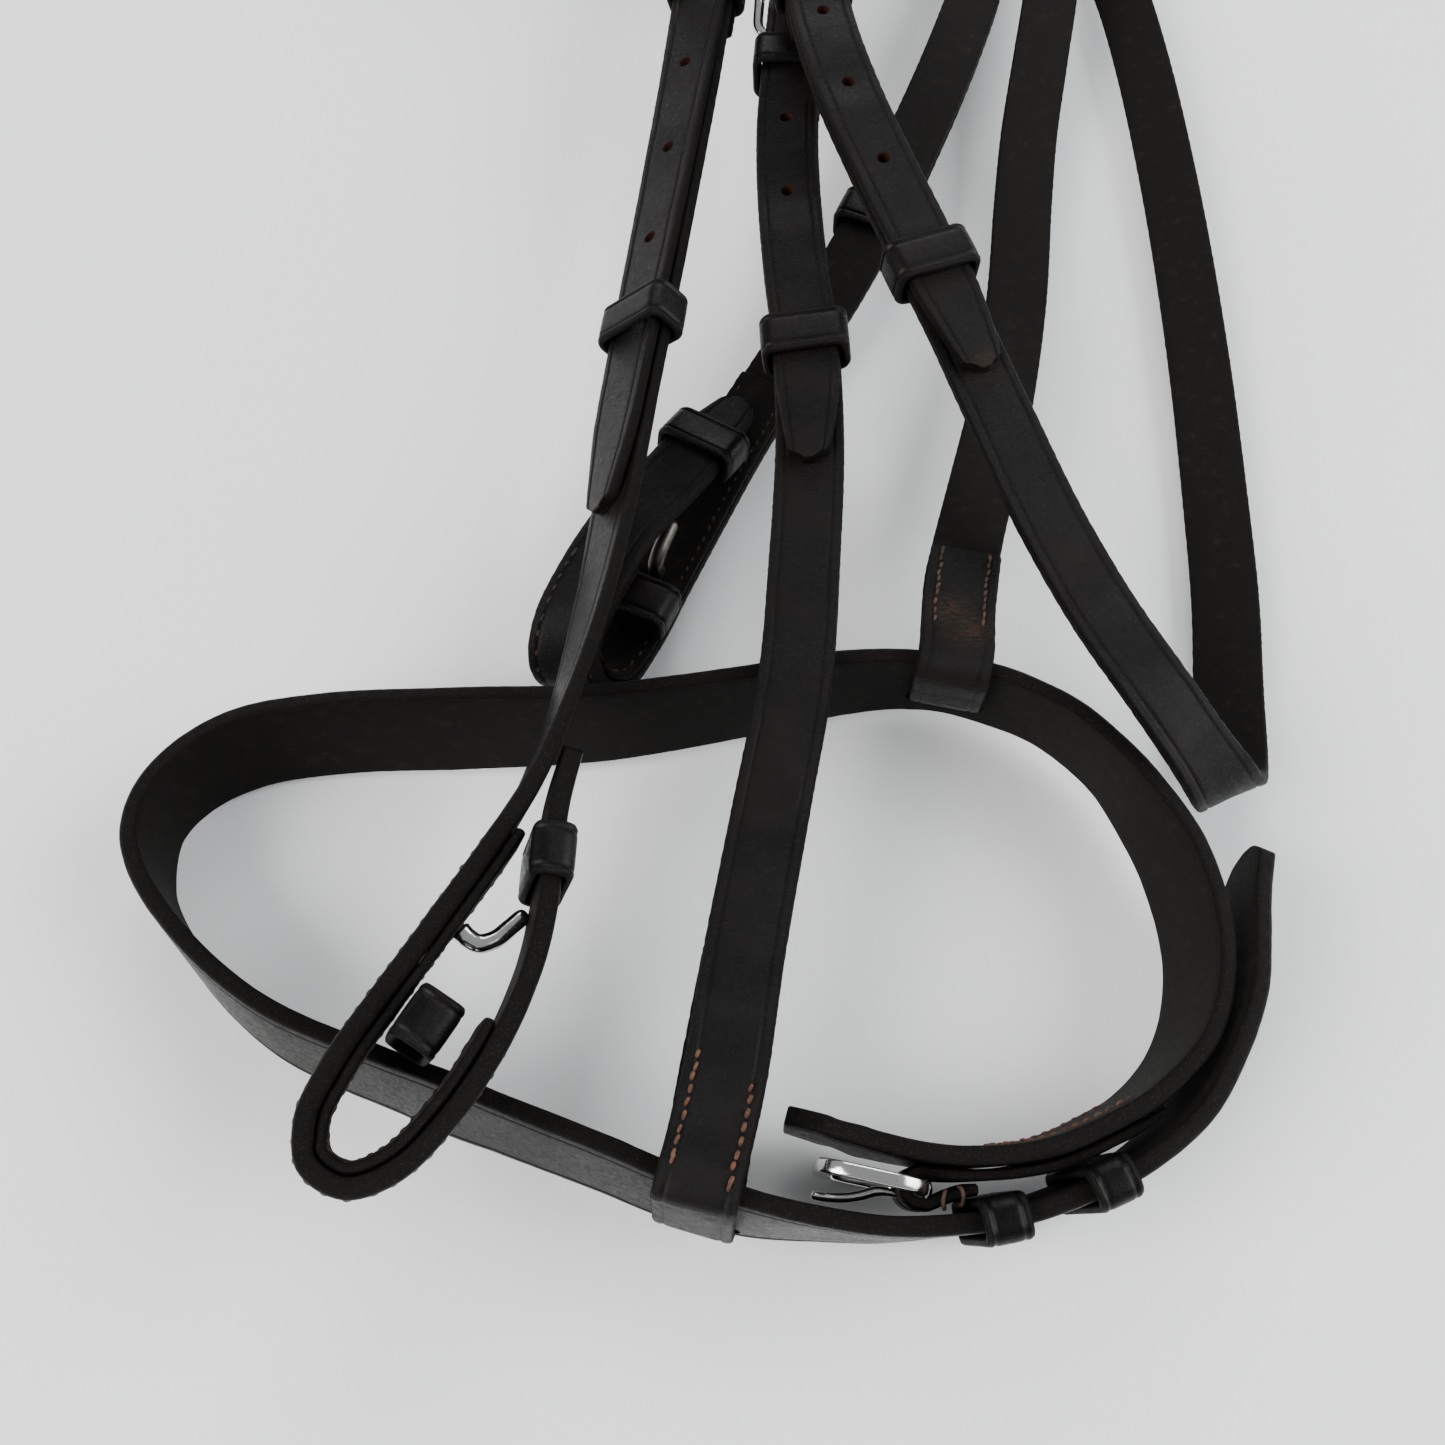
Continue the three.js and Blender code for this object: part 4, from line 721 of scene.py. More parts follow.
def wear(obj, *patches):
    """Marks worn patches, each a middle in layout millimetres and a radius, for the leather to show."""
    co = np.empty(3 * len(obj.data.vertices))
    obj.data.vertices.foreach_get("co", co)
    co = co.reshape(-1, 3) / MM + LAYOUT_CENTRE
    worn = np.zeros(len(co))
    for middle, radius in patches:
        worn = np.maximum(worn, np.exp(-np.sum((co - np.array(middle, float)) ** 2, axis=1) / radius**2))
    obj.data.attributes.new("wear", "FLOAT", "POINT").data.foreach_set("value", worn)
    return obj


def strap_object(name, parts, material, **kw):
    verts, faces, maps = merged(parts) if isinstance(parts, list) else parts
    return mesh_object(name, verts, faces, maps, material, **kw)


def tube(points, normals, radii, sides=12, power=2.0, flat=1.0, closed=False, rounded=(True, True)):
    """A rod through points. Its section is a circle, or squarer with a higher power."""
    points, normals = np.asarray(points, float), unit(np.asarray(normals, float))
    radii = np.broadcast_to(np.asarray(radii, float), len(points)).copy()
    flat = np.broadcast_to(np.asarray(flat, float), len(points)).copy()
    if closed:
        tangent = np.roll(points, -1, axis=0) - np.roll(points, 1, axis=0)
    else:
        tangent = np.gradient(points, axis=0)
    tangent = unit(tangent)
    normals = unit(normals - tangent * np.sum(normals * tangent, axis=1, keepdims=True))
    sideways = np.cross(tangent, normals)
    if not closed:
        ends = []
        for at, sign, wanted in ((0, -1, rounded[0]), (-1, 1, rounded[1])):
            steps = [0.35, 0.65, 0.88] if wanted else [0.25]
            for s in steps:
                size = math.sqrt(1 - s * s) if wanted else 0.8
                grow = s if wanted else 0.25
                ends.append((at, sign, points[at] + tangent[at] * sign * radii[at] * grow, radii[at] * size))
        for at, sign, p, r in ends:
            where = 0 if sign < 0 else len(points)
            points = np.insert(points, where, p, axis=0)
            radii = np.insert(radii, where, r)
            flat = np.insert(flat, where, flat[0 if sign < 0 else -1])
            normals = np.insert(normals, where, normals[0 if sign < 0 else -1], axis=0)
            sideways = np.insert(sideways, where, sideways[0 if sign < 0 else -1], axis=0)
    angle = 2 * math.pi * np.arange(sides) / sides
    c, s = np.cos(angle), np.sin(angle)
    u = np.sign(c) * np.abs(c) ** (2 / power)
    v = np.sign(s) * np.abs(s) ** (2 / power)
    squashed = flat[:, None, None] * normals[:, None] * v[:, None]
    rings = points[:, None] + radii[:, None, None] * (sideways[:, None] * u[:, None] + squashed)
    n = len(rings)
    i = np.arange(n if closed else n - 1)[:, None]
    k = np.arange(sides)[None]
    i, k = np.broadcast_arrays(i, k)
    j, l = (i + 1) % n, (k + 1) % sides
    quads = np.stack([i * sides + k, i * sides + l, j * sides + l, j * sides + k], axis=-1).reshape(-1, 4)
    faces = quads.tolist()
    if not closed:
        faces += [list(range(sides - 1, -1, -1)), list(range((n - 1) * sides, n * sides))]
    return rings.reshape(-1, 3), faces, {}


def turned_out(obj):
    """Turns a closed mesh's faces outwards."""
    mesh = bmesh.new()
    mesh.from_mesh(obj.data)
    bmesh.ops.recalc_face_normals(mesh, faces=mesh.faces)
    if mesh.calc_volume(signed=True) < 0:
        bmesh.ops.reverse_faces(mesh, faces=mesh.faces)
    mesh.to_mesh(obj.data)
    mesh.free()
    return obj


def boolean(obj, others, operation="DIFFERENCE"):
    """Cuts others out of obj, or joins them to it, and removes them."""
    for other in others:
        modifier = obj.modifiers.new("join", "BOOLEAN")
        modifier.operation, modifier.solver, modifier.object = operation, "MANIFOLD", other
    graph = bpy.context.evaluated_depsgraph_get()
    mesh = bpy.data.meshes.new_from_object(obj.evaluated_get(graph))
    obj.modifiers.clear()
    old = obj.data
    obj.data = mesh
    bpy.data.meshes.remove(old)
    for other in others:
        bpy.data.objects.remove(other)
    obj.data.set_sharp_from_angle(angle=math.radians(38))
    return obj


def cutter(f, width, length, depth, middle_out=0.0, edge=2.0):
    """A rounded slot or round hole through a strap at frame f, as an object to cut with."""
    reach = max(0.0, length / 2 - width / 2)
    angles = np.linspace(0, 2 * math.pi, 20, endpoint=False)
    x, y = width / 2 * np.cos(angles), width / 2 * np.sin(angles) + np.where(np.sin(angles) >= 0, reach, -reach)
    rings = []
    for out, grow in ((-depth / 2, 1.0), (depth / 2, 1.0)):
        ring = f.p + f.a * (x * grow)[:, None] + f.t * (y * grow)[:, None] + f.n * (out + middle_out)
        rings.append(ring)
    sides = len(angles)
    faces = [[k, (k + 1) % sides, sides + (k + 1) % sides, sides + k] for k in range(sides)]
    faces += [list(range(sides - 1, -1, -1)), list(range(sides, 2 * sides))]
    corners = 4 * sides + 2 * sides
    depths = np.zeros((corners, 2))
    kind = np.tile([0.0, edge], (corners, 1))
    obj = mesh_object("cutter", np.vstack(rings), faces, {"strap": depths, "side": kind}, LEATHER)
    return turned_out(obj)


def finish_piece(obj, body, slot, *nodes):
    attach(obj, body)
    if nodes:
        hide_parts(*nodes)
    return obj


# ---------------------------------------------------------------- routes worked out from others
def rows_of(run):
    return [[*p, *a] for p, a in zip(run.p, run.a)]


def flipped(rows):
    return [[x, y, z, -u, -v, -w] for x, y, z, u, v, w in rows]


left_cheek, right_cheek, throatlash = Route(LEFT_CHEEK), Route(RIGHT_CHEEK), Route(THROATLASH)
crown, browband = Route(CROWN_ROUTE), Route(BROWBAND_ROUTE)
noseband = Route([[x, y, NOSEBAND_WIDTH / 2 + lift, -lx, -ly, -1] for x, y, lift, lx, ly in NOSEBAND_PLAN])


def wrap_rows(place, wrap):
    wall = noseband.at(noseband.nearest(place, NOSEBAND_CHIN_END))
    return [[*wall.moved(down, 0, out)[0], *wall.t[0]] for down, out in wrap]


LEFT_WRAP_PLACE, RIGHT_WRAP_PLACE = (-4.5, 48.4, 16), (50.8, 160, 16)
left_noseband_cheek = Route([*LEFT_WRAP_LAP, *wrap_rows(LEFT_WRAP_PLACE, LEFT_WRAP), *LEFT_NOSEBAND_CHEEK])
HEADSTALL_ROWS = [*RIGHT_WRAP_LAP, *wrap_rows(RIGHT_WRAP_PLACE, RIGHT_WRAP), *HEADSTALL]


def billet_rows(route, tip):
    steps = int(math.floor(tip / 14 + 0.5))
    along = route.at([route.length - tip + tip * i / steps for i in range(steps + 1)])
    bar = route.at(route.length)
    over = [[*bar.moved(0, ahead, out)[0], *bar.a[0]] for ahead, out in OVER_BAR]
    return rows_of(along.shifted(out=BILLET_RISE)) + over


def crown_rows(at_left, side):
    places = [-0.5, 9] if at_left else [crown.length + 0.5, crown.length - 9]
    return rows_of(crown.at(np.clip(places, 0, crown.length)).shifted(across=side * BILLET_SPREAD))


def tip_width(from_tip, width, length):
    """The width of a billet's tapered end, with the corners of the cut rounded off."""
    taper = width * (1 - TIP_NARROWING * (1 - np.minimum(1, from_tip / length)) ** 1.4)
    corner = 2.4
    gone = corner - np.sqrt(np.maximum(0, corner**2 - np.maximum(0, corner - from_tip) ** 2))
    return taper - 1.7 * gone


def settling(d):
    return np.maximum(0, 1 - np.maximum(0, d - 1.5) / SETTLED_AT) ** 1.6


def turned_back(read, drop, depth_at, lap_length):
    """The run of a strap's end round a buckle bar and back under itself."""
    bar = read(np.array([0.0]))
    angle = np.radians(np.arange(10, 180, 10))[:, None]
    n = bar.n * np.cos(angle) + bar.t * np.sin(angle)
    t = bar.t * np.cos(angle) - bar.n * np.sin(angle)
    p = bar.p - bar.n * drop + n * drop
    round_bar = Run(p, t, np.repeat(bar.a, len(angle), axis=0), np.zeros(len(angle)), CHAPE_THICK)
    d = np.arange(0.6, lap_length + 0.01, 1.0)
    back = read(d).shifted(out=-depth_at(d))
    skived = CHAPE_THICK - 0.9 * np.clip(1 - (lap_length - d) / 7, 0, 1)
    lap = Run(back.p, -back.t, back.a, d, skived)
    return joined_runs(round_bar, lap)


def easing(value, goal, start, end):
    """A thickness that changes smoothly from value to goal between two distances."""

    def read(d):
        share = np.clip((d - start) / (end - start), 0, 1)
        return value + (goal - value) * share**2 * (3 - 2 * share)

    return read


def wrapped_thickness(route, place):
    end = route.nearest(place, 40)
    return easing(WRAP_THICK, STRAP_THICK, end - 2, end + 12)


def buckled_run(route, thick_at=lambda d: STRAP_THICK):
    main = route.run()
    share = np.clip((route.length - main.d) / SKIVE_LENGTH, 0, 1)
    main.thick = CHAPE_THICK + (thick_at(main.d) - CHAPE_THICK) * share
    depth = lambda d: LAP_MIDDLE + (2 * BAR_DROP - LAP_MIDDLE) * settling(d)
    return joined_runs(main, turned_back(lambda d: route.at(route.length - d), BAR_DROP, depth, LAP_LENGTH))


def tongue_slot(route):
    return cutter(route.at(route.length), 3.4, 17, 15, -BAR_DROP)


def holes(route, places, width=HOLE_WIDTH):
    return [cutter(route.at(d), width, width, 9) for d in places]


# ---------------------------------------------------------------- keepers, buckles, tongues, thread
def rounded_box(x0, x1, y0, y1, r, step=1.0):
    """Points round a box with rounded corners, clockwise from the lower left."""
    pts = []
    for cx, cy, start in ((x0 + r, y0 + r, 270), (x0 + r, y1 - r, 180), (x1 - r, y1 - r, 90), (x1 - r, y0 + r, 0)):
        angle = np.radians(np.linspace(start, start - 90, 7))
        pts += list(zip(cx + r * np.cos(angle), cy + r * np.sin(angle)))
    dense = []
    for i, p in enumerate(pts):
        q = pts[(i + 1) % len(pts)]
        count = max(1, int(math.hypot(q[0] - p[0], q[1] - p[1]) / step))
        dense += [(p[0] + (q[0] - p[0]) * k / count, p[1] + (q[1] - p[1]) * k / count) for k in range(count)]
    return np.array(dense)


def keeper(name, body, f, low, high, strap_width=STRAP_WIDTH, clearance=0.45, width=11.0):
    """A leather band round what lies between low and high out of frame f."""
    half, middle = strap_width / 2 + clearance, KEEPER_THICK / 2
    corner = min(2.3, (high - low) / 2 + clearance + middle - 0.2)
    box = rounded_box(-half - middle, half + middle, low - clearance - middle, high + clearance + middle, corner)
    bulge = 0.12 * np.sin(np.arange(len(box)) * 0.37 + len(name))
    p = f.p + f.a * box[:, :1] + f.n * box[:, 1:]
    t = np.roll(p, -1, axis=0) - np.roll(p, 1, axis=0)
    d = np.concatenate([[0.0], np.cumsum(np.linalg.norm(np.diff(p, axis=0), axis=1))])
    across = np.repeat(-f.t, len(p), axis=0)
    run = Run(p, t, across, d, KEEPER_THICK - 0.1, width - 0.1 + bulge)
    centre = f.p + f.n * (low + high) / 2
    if np.sum(run.n * (p - centre)) < 0:
        run = Run(p, t, -across, d, KEEPER_THICK - 0.1, width - 0.1 + bulge)
    obj = mesh_object(name + "_band", *sweep(run, width, KEEPER_THICK, BAND_SECTION, closed=True, seed=len(name)), KEEPER_LEATHER)
    return finish_piece(turned_out(obj), body, "keeper_leather", name)


def buckle(name, body, f, drop, width, length, wire, rise, corner, power=2.9):
    """A cast buckle frame whose bar lies below frame f and which rises out of the strap."""
    x = (width - wire) / 2
    box = rounded_box(-x, x, 0, length, corner, 1.5)
    tilt = rise / length
    points = f.p + f.a * box[:, :1] + f.t * box[:, 1:] + f.n * (box[:, 1:] * tilt - drop)
    normal = unit(f.n - f.t * tilt)
    verts, faces, _ = tube(points, np.repeat(normal, len(points), axis=0), wire / 2, 20, power, 0.9, closed=True)
    obj = turned_out(mesh_object(name + "_frame", verts, faces, None, NICKEL, 50))
    return finish_piece(obj, body, "nickel_hardware", name)


def tongue(name, body, f, drop, tip, droop=0.0):
    """A tongue of flattened wire: an eye wrapped round the bar, and a blade out to its tip."""
    reach, lean = math.hypot(*tip), math.atan2(tip[1], tip[0])
    radius = 2.55
    turns = np.radians(np.arange(40, 311, 15))
    eye = [(radius * math.cos(a), radius * math.sin(a)) for a in -turns[::-1]]
    blade = [(3.9, 0.75), (5.4, 0.25), (7.5, 0.0)]
    blade += [(7.5 + (reach - 7.5) * s, droop * math.sin(math.pi * s)) for s in (0.25, 0.5, 0.75, 0.9, 0.97)]
    flat_pts = np.array([(x, -y) for x, y in eye] + blade)
    turn = np.array([[math.cos(lean), math.sin(lean)], [-math.sin(lean), math.cos(lean)]])
    plane = spline(flat_pts @ turn, 4)
    points = f.p - f.n * drop + f.t * plane[:, :1] + f.n * plane[:, 1:]
    count = len(eye)
    share = np.clip((np.arange(len(plane)) / 4 - count) / (len(flat_pts) - count), 0, 1)
    radii = 1.2 - 0.28 * share
    flat = 0.55 + 0.32 * np.minimum(1, share * 4)
    tangent = np.gradient(points, axis=0)
    verts, faces, _ = tube(points, np.cross(np.repeat(f.a, len(points), axis=0), tangent), radii, 12, 2.6, flat)
    obj = turned_out(mesh_object(name + "_wire", verts, faces, None, NICKEL, 50))
    return finish_piece(obj, body, "nickel_hardware", name)


def stitches(name, rows, pitch=2.4, material=THREAD, thick=0.4, stands=0.12, reach=0.9):
    """Rows of hand stitches. A row is a run, its side (1 grain, -1 flesh), across and the half thickness."""
    draw = np.random.default_rng(len(name) * 7)
    parts = []
    for run, side, across, half_thick in rows:
        length = run.d[-1] - run.d[0]
        surface = np.broadcast_to(half_thick, len(run.d))
        for place in np.concatenate([[0.2], np.arange(0.9, length - 0.4, pitch)]):
            i = int(np.argmin(np.abs(run.d - run.d[0] - place)))
            skew = 0.13 + 0.06 * draw.standard_normal()
            along = run.t[i] * math.cos(skew) + run.a[i] * math.sin(skew)
            up = run.n[i] * side
            middle = run.p[i] + run.a[i] * (across + 0.1 * draw.standard_normal()) + up * surface[i]
            size = reach + 0.08 * draw.standard_normal()
            fat = thick * (1 + 0.1 * draw.standard_normal())
            s = np.array([-1, -0.75, -0.35, 0.35, 0.75, 1])[:, None]
            lift = np.array([-0.5, stands - 0.18, stands, stands, stands - 0.18, -0.5])[:, None]
            points = middle + along * s * size + up * (lift + 0.04 * draw.standard_normal())
            radii = fat * np.array([0.5, 0.87, 1, 1, 0.87, 0.5])
            parts.append(tube(points, np.repeat(up[None], 6, axis=0), radii, 8, 2.0, 0.85, rounded=(False, False)))
    verts, faces, _ = merged(parts)
    obj = mesh_object(name, verts, faces, None, material, 60)
    return finish_piece(turned_out(obj), ROOT, "thread")


def buckle_set(side, route, runner_at):
    bar = route.at(route.length)
    buckle(side + "_buckle", ROOT, bar, BAR_DROP, *BUCKLE)
    tongue(side + "_buckle_tongue", side + "_tongue", bar, BAR_DROP, (BUCKLE[1] + 1, OVER_RAIL))
    keeper(side + "_fixed_keeper", ROOT, route.at(route.length - FIXED_KEEPER_AT), LAP_BOTTOM, BILLET_TOP)
    runner = route.at(route.length - runner_at)
    keeper(side + "_runner", side + "_runner_body", runner, -STRAP_THICK / 2, BILLET_TOP, clearance=0.7)
    sewn = route.run(route.length - LAP_LENGTH + 1, route.length - FIXED_KEEPER_AT - 6.5, 0.5)
    rows = [(sewn, -1, across, -LAP_BOTTOM) for across in (-5.4, 5.4)]
    stitches(side + "_lap_stitches", rows)


# ---------------------------------------------------------------- straps
def billet_sweep(route, seed):
    run = route.run()
    return sweep(run, tip_width(run.d, BILLET_WIDTH, TIP_LENGTH), BILLET_THICK, seed=seed, end_bow=(1.4, 0))


def cheekpiece(side, route, seed, lining_from, lining_to, stud, upper_keeper, upper_slack, lower_keeper, lower_rise):
    run = buckled_run(route, easing(LOOP_THICK, STRAP_THICK, lining_to, lining_to + 40))
    widths = tip_width(run.d, STRAP_WIDTH, TIP_LENGTH)
    piece = strap_object(side + "_cheekpiece_strap", sweep(run, widths, None, seed=seed, end_bow=(1.4, 0)), LEATHER)
    boolean(piece, [tongue_slot(route)])
    finish_piece(piece, ROOT, "strap_leather", side + "_cheekpiece")

    lining = route.run(lining_from, lining_to).shifted(out=-LINING_RISE + 0.25)
    made = sweep(lining, STRAP_WIDTH - 0.4, LINING_THICK, PLAIN_SECTION, seed=seed + 5)
    finish_piece(strap_object(side + "_cheek_lining_strap", made, LEATHER), ROOT, "strap_leather", side + "_cheek_lining")

    f = route.at(stud)
    inside = -LINING_RISE - LINING_THICK / 2 - GAP
    bends = spline([(x, y, 0) for x, y in HOOK_STUD_PATH], 8)
    points = f.p + f.t * bends[:, :1] + f.n * (inside - bends[:, 1:2])
    share = np.linspace(0, 1, len(points))
    radii = HOOK_STUD_WIRE / 2 * (1.42 - 0.18 * share)
    verts, faces, _ = tube(points, np.repeat(f.a, len(points), axis=0), radii, 14, 2.3, 1.0, rounded=(False, True))
    # The right hook stud gets the nickel whose colour is darkened with painted shade.
    finish = {"left": NICKEL, "right": SHADED_NICKEL}[side]
    obj = turned_out(mesh_object(side + "_hook_stud_wire", verts, faces, None, finish, 50))
    finish_piece(obj, ROOT, "nickel_hardware", side + "_hook_stud")

    keeper(side + "_cheek_upper_keeper", ROOT, route.at(upper_keeper), -LOOP_THICK / 2 - upper_slack, LOOP_THICK / 2)
    high = inside - KEEPER_THICK - 0.45
    raised = route.at(lower_keeper).shifted(across=lower_rise)
    keeper(side + "_cheek_lower_keeper", ROOT, raised, high - EMPTY_KEEPER_DEPTH, high, STRAP_WIDTH - 1)

    rows = []
    for across in (-5.9, 5.9):
        sewn = route.run(lining_from + 4, lining_to - 3, 0.5)
        rows.append((sewn, 1, across, LOOP_THICK / 2))
        rows.append((sewn, -1, across, LINING_RISE - 0.25 + LINING_THICK / 2))
    stitches(side + "_bit_loop_stitches", rows, 3.2, DARK_THREAD, 0.3, -0.06)
    buckle_set(side + "_cheek", route, {"left": 137, "right": 158}[side])


cheekpiece(
    "left", left_cheek, 11,
    left_cheek.nearest((-38, 73, 38)), left_cheek.nearest((-42.5, 114.5, 38), 110), left_cheek.nearest((-50, 99, 38), 120),
    left_cheek.nearest((-31, 107.5, 38), 0, 60), 0.1, left_cheek.nearest((-62, 80, 38), 110), 3.4,
)
cheekpiece("right", right_cheek, 21, 62, 200, 140, 18, 1.0, 124, 0.0)

# Headpiece: the crown, its three billets and the throatlash are one piece of leather.
left_cheek_billet = Route([*billet_rows(left_cheek, LEFT_CHEEK_TIP), [5, 418, 42.8, 0.96, 0.2, 0.06], *crown_rows(True, -1)])
left_throat_billet = Route([*billet_rows(throatlash, THROAT_TIP), [24.5, 404, 47, 0.99, 0.12, 0], *crown_rows(True, 1)])
right_cheek_billet = Route([*billet_rows(right_cheek, RIGHT_CHEEK_TIP), *flipped(crown_rows(False, -1))])
headpiece = strap_object("headpiece_leather", sweep(crown.run(), CROWN_WIDTH, CROWN_THICK, seed=31), LEATHER)
others = [
    strap_object("billet", billet_sweep(left_cheek_billet, seed=32), LEATHER),
    strap_object("billet", billet_sweep(left_throat_billet, seed=33), LEATHER),
    strap_object("billet", billet_sweep(right_cheek_billet, seed=34), LEATHER),
    strap_object("throat", sweep(buckled_run(throatlash), BILLET_WIDTH, None, seed=35), LEATHER),
]
boolean(headpiece, others, "UNION")
cuts = holes(left_cheek_billet, [LEFT_CHEEK_TIP - d for d in CHEEK_HOLES])
cuts += holes(left_throat_billet, [THROAT_TIP - d for d in THROAT_HOLES])
cuts += holes(right_cheek_billet, [RIGHT_CHEEK_TIP - d for d in CHEEK_HOLES])
for route, tip in ((left_cheek_billet, LEFT_CHEEK_TIP), (left_throat_billet, THROAT_TIP), (right_cheek_billet, RIGHT_CHEEK_TIP)):
    cuts.append(cutter(route.at(tip + 9), 3.4, 11, 9))
boolean(headpiece, [*cuts, tongue_slot(throatlash)])
tip = left_throat_billet.at(0.4)
wear(headpiece, (tip.p[0], 3.2), (left_cheek_billet.at(0.4).p[0], 2.6))
finish_piece(headpiece, ROOT, "strap_leather", "headpiece_and_throatlash")
buckle_set("throatlash", throatlash, 116)

# Noseband headstall: from its wrap round the noseband, over the poll, to the tip of its billet.
billet_part = flipped(billet_rows(left_noseband_cheek, NOSEBAND_CHEEK_TIP))[::-1]
headstall = Route([*HEADSTALL_ROWS, *billet_part])
billet_end = headstall.length
run = headstall.run()
slim = np.clip((run.d - (billet_end - 190)) / 30, 0, 1)
widths = STRAP_WIDTH - (STRAP_WIDTH - BILLET_WIDTH) * slim
widths = np.minimum(widths, tip_width(billet_end - run.d, BILLET_WIDTH, TIP_LENGTH) + 0.4 * (1 - slim))
thick_at = wrapped_thickness(headstall, HEADSTALL[0][:3])
thick = thick_at(run.d) - (STRAP_THICK - BILLET_THICK) * slim
made = sweep(run, widths, thick, seed=41, end_bow=(0, 1.4))
headstall_piece = strap_object("noseband_headstall_strap", made, LEATHER)
cuts = holes(headstall, [billet_end - NOSEBAND_CHEEK_TIP + d for d in NOSEBAND_CHEEK_HOLES])
cuts.append(cutter(headstall.at(billet_end - NOSEBAND_CHEEK_TIP - 9), 3.4, 11, 9))
boolean(headstall_piece, cuts)
wear(headstall_piece, (headstall.at(20).moved(2, 0, 1)[0], 4), (headstall.at(25).moved(-2, 0, 1)[0], 4))
finish_piece(headstall_piece, ROOT, "strap_leather", "noseband_headstall")

thick_at = wrapped_thickness(left_noseband_cheek, LEFT_NOSEBAND_CHEEK[0][:3])
made = sweep(buckled_run(left_noseband_cheek, thick_at), STRAP_WIDTH, None, seed=51)
piece = strap_object("left_noseband_cheek_strap", made, LEATHER)
boolean(piece, [tongue_slot(left_noseband_cheek)])
finish_piece(piece, ROOT, "strap_leather", "left_noseband_cheek")
buckle_set("left_noseband_cheek", left_noseband_cheek, 112)

# Browband
finish_piece(
    strap_object("browband_strap", sweep(browband.run(), BROWBAND_WIDTH, BROWBAND_THICK, seed=61), LEATHER),
    ROOT, "strap_leather", "browband",
)

# Noseband and its buckle
run = noseband.run()
widths = tip_width(noseband.length - run.d, NOSEBAND_WIDTH, 34)
widths = np.minimum(widths, NOSEBAND_WIDTH - 2 * CHIN_END_SLOPE * np.maximum(0, CHIN_END_LENGTH - run.d))
made = sweep(run, widths, NOSEBAND_THICK, seed=71, end_bow=(0, 1.6))
piece = strap_object("noseband_strap", made, LEATHER)
cuts = []
for place, down in ((LEFT_WRAP_PLACE, LEFT_SLOT_DOWN), (RIGHT_WRAP_PLACE, RIGHT_SLOT_DOWN)):
    wall = noseband.at(noseband.nearest(place, NOSEBAND_CHIN_END)).shifted(across=down)
    cuts.append(cutter(wall, WRAP_SLOT_WIDTH, WRAP_SLOT_LENGTH, 12, edge=1.0))
boolean(piece, cuts)
finish_piece(piece, ROOT, "strap_leather", "noseband")

chape_inner = NOSEBAND_THICK / 2 + GAP + CHAPE_THICK / 2
chape_outer = chape_inner + CHAPE_THICK + GAP
chape_bar = chape_inner + CHAPE_THICK / 2 + GAP + NOSEBAND_BUCKLE[2] / 2
chape_turn = chape_bar - chape_inner
outer_leg_at = lambda d: chape_outer + (chape_bar + chape_turn - chape_outer) * settling(d)


def read_chape(d):
    f = noseband.at(CHAPE_BAR_AT + np.asarray(d, float))
    return Run(f.p, -f.t, -f.a, f.d).shifted(out=outer_leg_at(np.asarray(d, float)))


leg = read_chape(np.arange(CHAPE_OUTER, 0.1, -0.5))
leg.thick = CHAPE_THICK
inner = turned_back(read_chape, chape_turn, lambda d: outer_leg_at(d) - chape_inner, CHAPE_INNER)
piece = strap_object(
    "noseband_chape_leather", sweep(joined_runs(leg, inner), CHAPE_WIDTH, None, PLAIN_SECTION, seed=75), LEATHER
)
chape_frame = noseband.at(CHAPE_BAR_AT).backwards()
boolean(piece, [cutter(chape_frame, 3.4, 17, 8, chape_bar)])
finish_piece(piece, ROOT, "strap_leather", "noseband_chape")
buckle("noseband_buckle", "noseband_buckle_body", chape_frame, -chape_bar, *NOSEBAND_BUCKLE, 5.0)
loops = []
for place, lean in ((4.2, 0.9), (6.0, -0.7)):
    f = read_chape([place])
    over = [(6.2, 0, 1.2), (8.4, 0.3, 1.9), (10.2, 0.8, 1.8), (11, 1.0, 0.5), (10.6, 0.7, -0.8), (8.8, 0.2, -1.3)]
    path = spline([f.moved(across, along * lean, out)[0] for across, along, out in over], 5)
    loops.append(tube(path, np.repeat(f.t, len(path), axis=0), 0.36, 8))
verts, faces, _ = merged(loops)
finish_piece(turned_out(mesh_object("torn_chape_threads", verts, faces, None, WORN_THREAD, 60)), ROOT, "thread")
tongue("noseband_buckle_tongue", "noseband_tongue", chape_frame, -chape_bar, (19, 4), 0.8)
for name, x, y in NOSEBAND_KEEPERS:
    f = noseband.at(noseband.nearest((x, y, 16), noseband.length / 2))
    keeper(name, ROOT, f, -NOSEBAND_THICK / 2, NOSEBAND_THICK / 2, NOSEBAND_WIDTH, 0.55, 9.0)

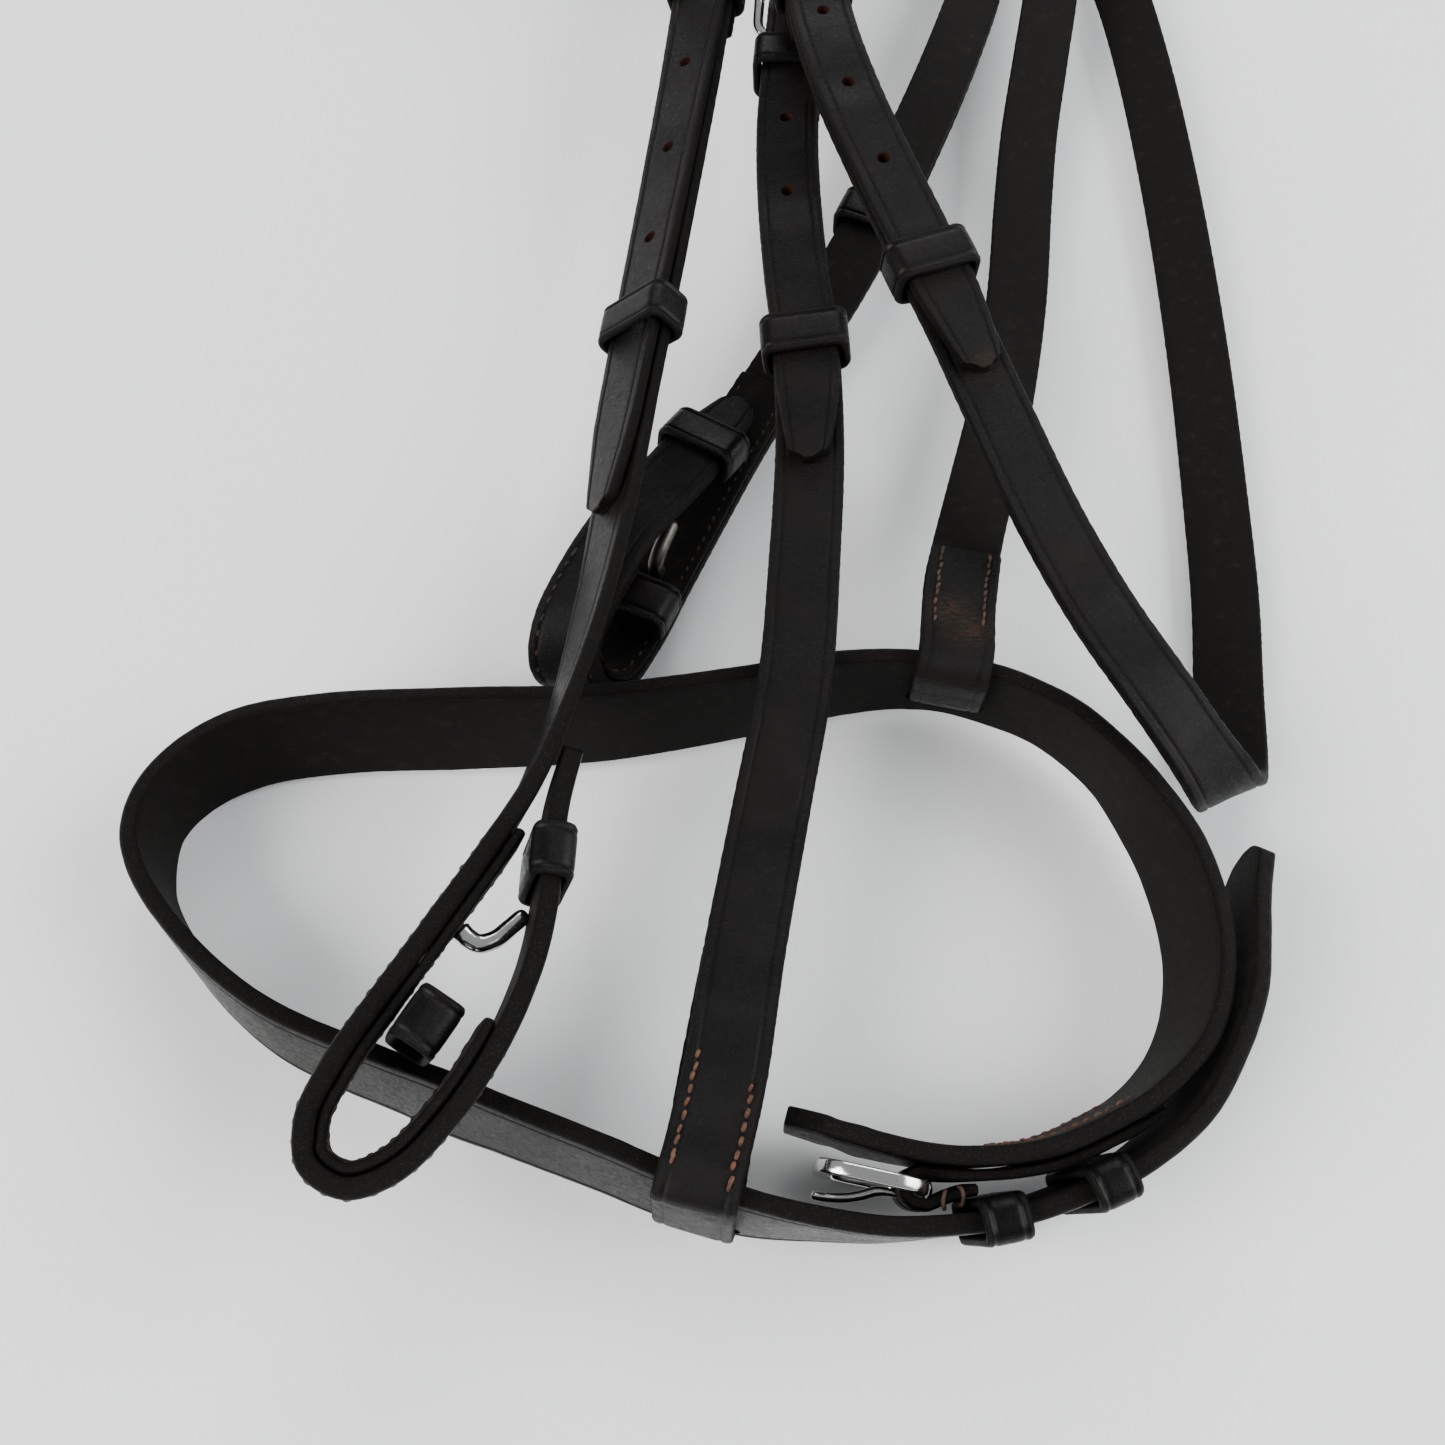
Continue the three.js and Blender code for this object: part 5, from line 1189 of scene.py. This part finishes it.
# Seams
near_wall = left_noseband_cheek.nearest((-2.4, 56.5, 31.4), 40)
thick_at = wrapped_thickness(left_noseband_cheek, LEFT_NOSEBAND_CHEEK[0][:3])
sewn = []
for first, last, across in ((-5, 15.5, -5.6), (-7, 12, 5.6)):
    run = left_noseband_cheek.run(near_wall + first, near_wall + last, 0.5)
    sewn.append((run, 1, across, thick_at(run.d) / 2))
stitches("left_noseband_wrap_stitches", sewn)
sewn = [(headstall.run(1, 25, 0.5), 1, across, WRAP_THICK / 2) for across in (-5.4, 5.4)]
stitches("right_noseband_wrap_stitches", sewn, 2.3, WORN_THREAD, 0.36, 0.08)
sewn = [(browband.run(2, 34, 0.5), -1, across, BROWBAND_THICK / 2) for across in (-7, 7)]
sewn += [(browband.run(browband.length - 26, browband.length - 2, 0.5), 1, across, BROWBAND_THICK / 2) for across in (-7, 7)]
stitches("browband_loop_stitches", sewn, 2.8, DARK_THREAD, 0.4)
sewn = noseband.run(CHAPE_BAR_AT + 12, CHAPE_BAR_AT + CHAPE_INNER - 2, 0.5)
sewn = [(sewn, -1, across, NOSEBAND_THICK / 2) for across in (-7.4, 7.4)]
stitches("noseband_chape_stitches", sewn)

# ---------------------------------------------------------------- floor, light and camera
bpy.ops.mesh.primitive_plane_add(size=6, location=(0, 0, min(0.0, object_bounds()[0].z) - 0.0002))
floor = bpy.context.object
floor.name = "studio_floor"
floor.data.materials.append(FLOOR)


def area_light(name, location, target, size, power, colour=(1, 1, 1)):
    data = bpy.data.lights.new(name, "AREA")
    data.shape, data.size, data.energy, data.color = "SQUARE", size, power, colour
    obj = bpy.data.objects.new(name, data)
    bpy.context.scene.collection.objects.link(obj)
    obj.location = location
    obj.rotation_euler = (Vector(target) - Vector(location)).to_track_quat("-Z", "Y").to_euler()


area_light("key", (-2.1, -1.1, 1.6), (0, 0, 0), 2.0, 139, (1.0, 0.99, 0.97))
area_light("fill", (2.3, -0.1, 1.3), (0, 0, 0), 2.4, 130, (0.97, 0.985, 1.0))
area_light("back", (0.2, 2.6, 2.2), (0, 0.1, 0), 2.2, 58)
world = bpy.data.worlds.new("soft_room")
bpy.context.scene.world = world
world.use_nodes = True
world.node_tree.nodes["Background"].inputs["Color"].default_value = (0.94, 0.97, 1.0, 1)
world.node_tree.nodes["Background"].inputs["Strength"].default_value = 0.37

camera_data = bpy.data.cameras.new("photo_view")
camera_data.sensor_width, camera_data.lens = 36.0, 36.025
camera_data.clip_start = 0.01
camera = bpy.data.objects.new("photo_view", camera_data)
bpy.context.scene.collection.objects.link(camera)
camera.location = (-0.005, -0.2908, 0.3002)
camera.rotation_euler = (math.radians(28), 0, 0)
bpy.context.scene.camera = camera
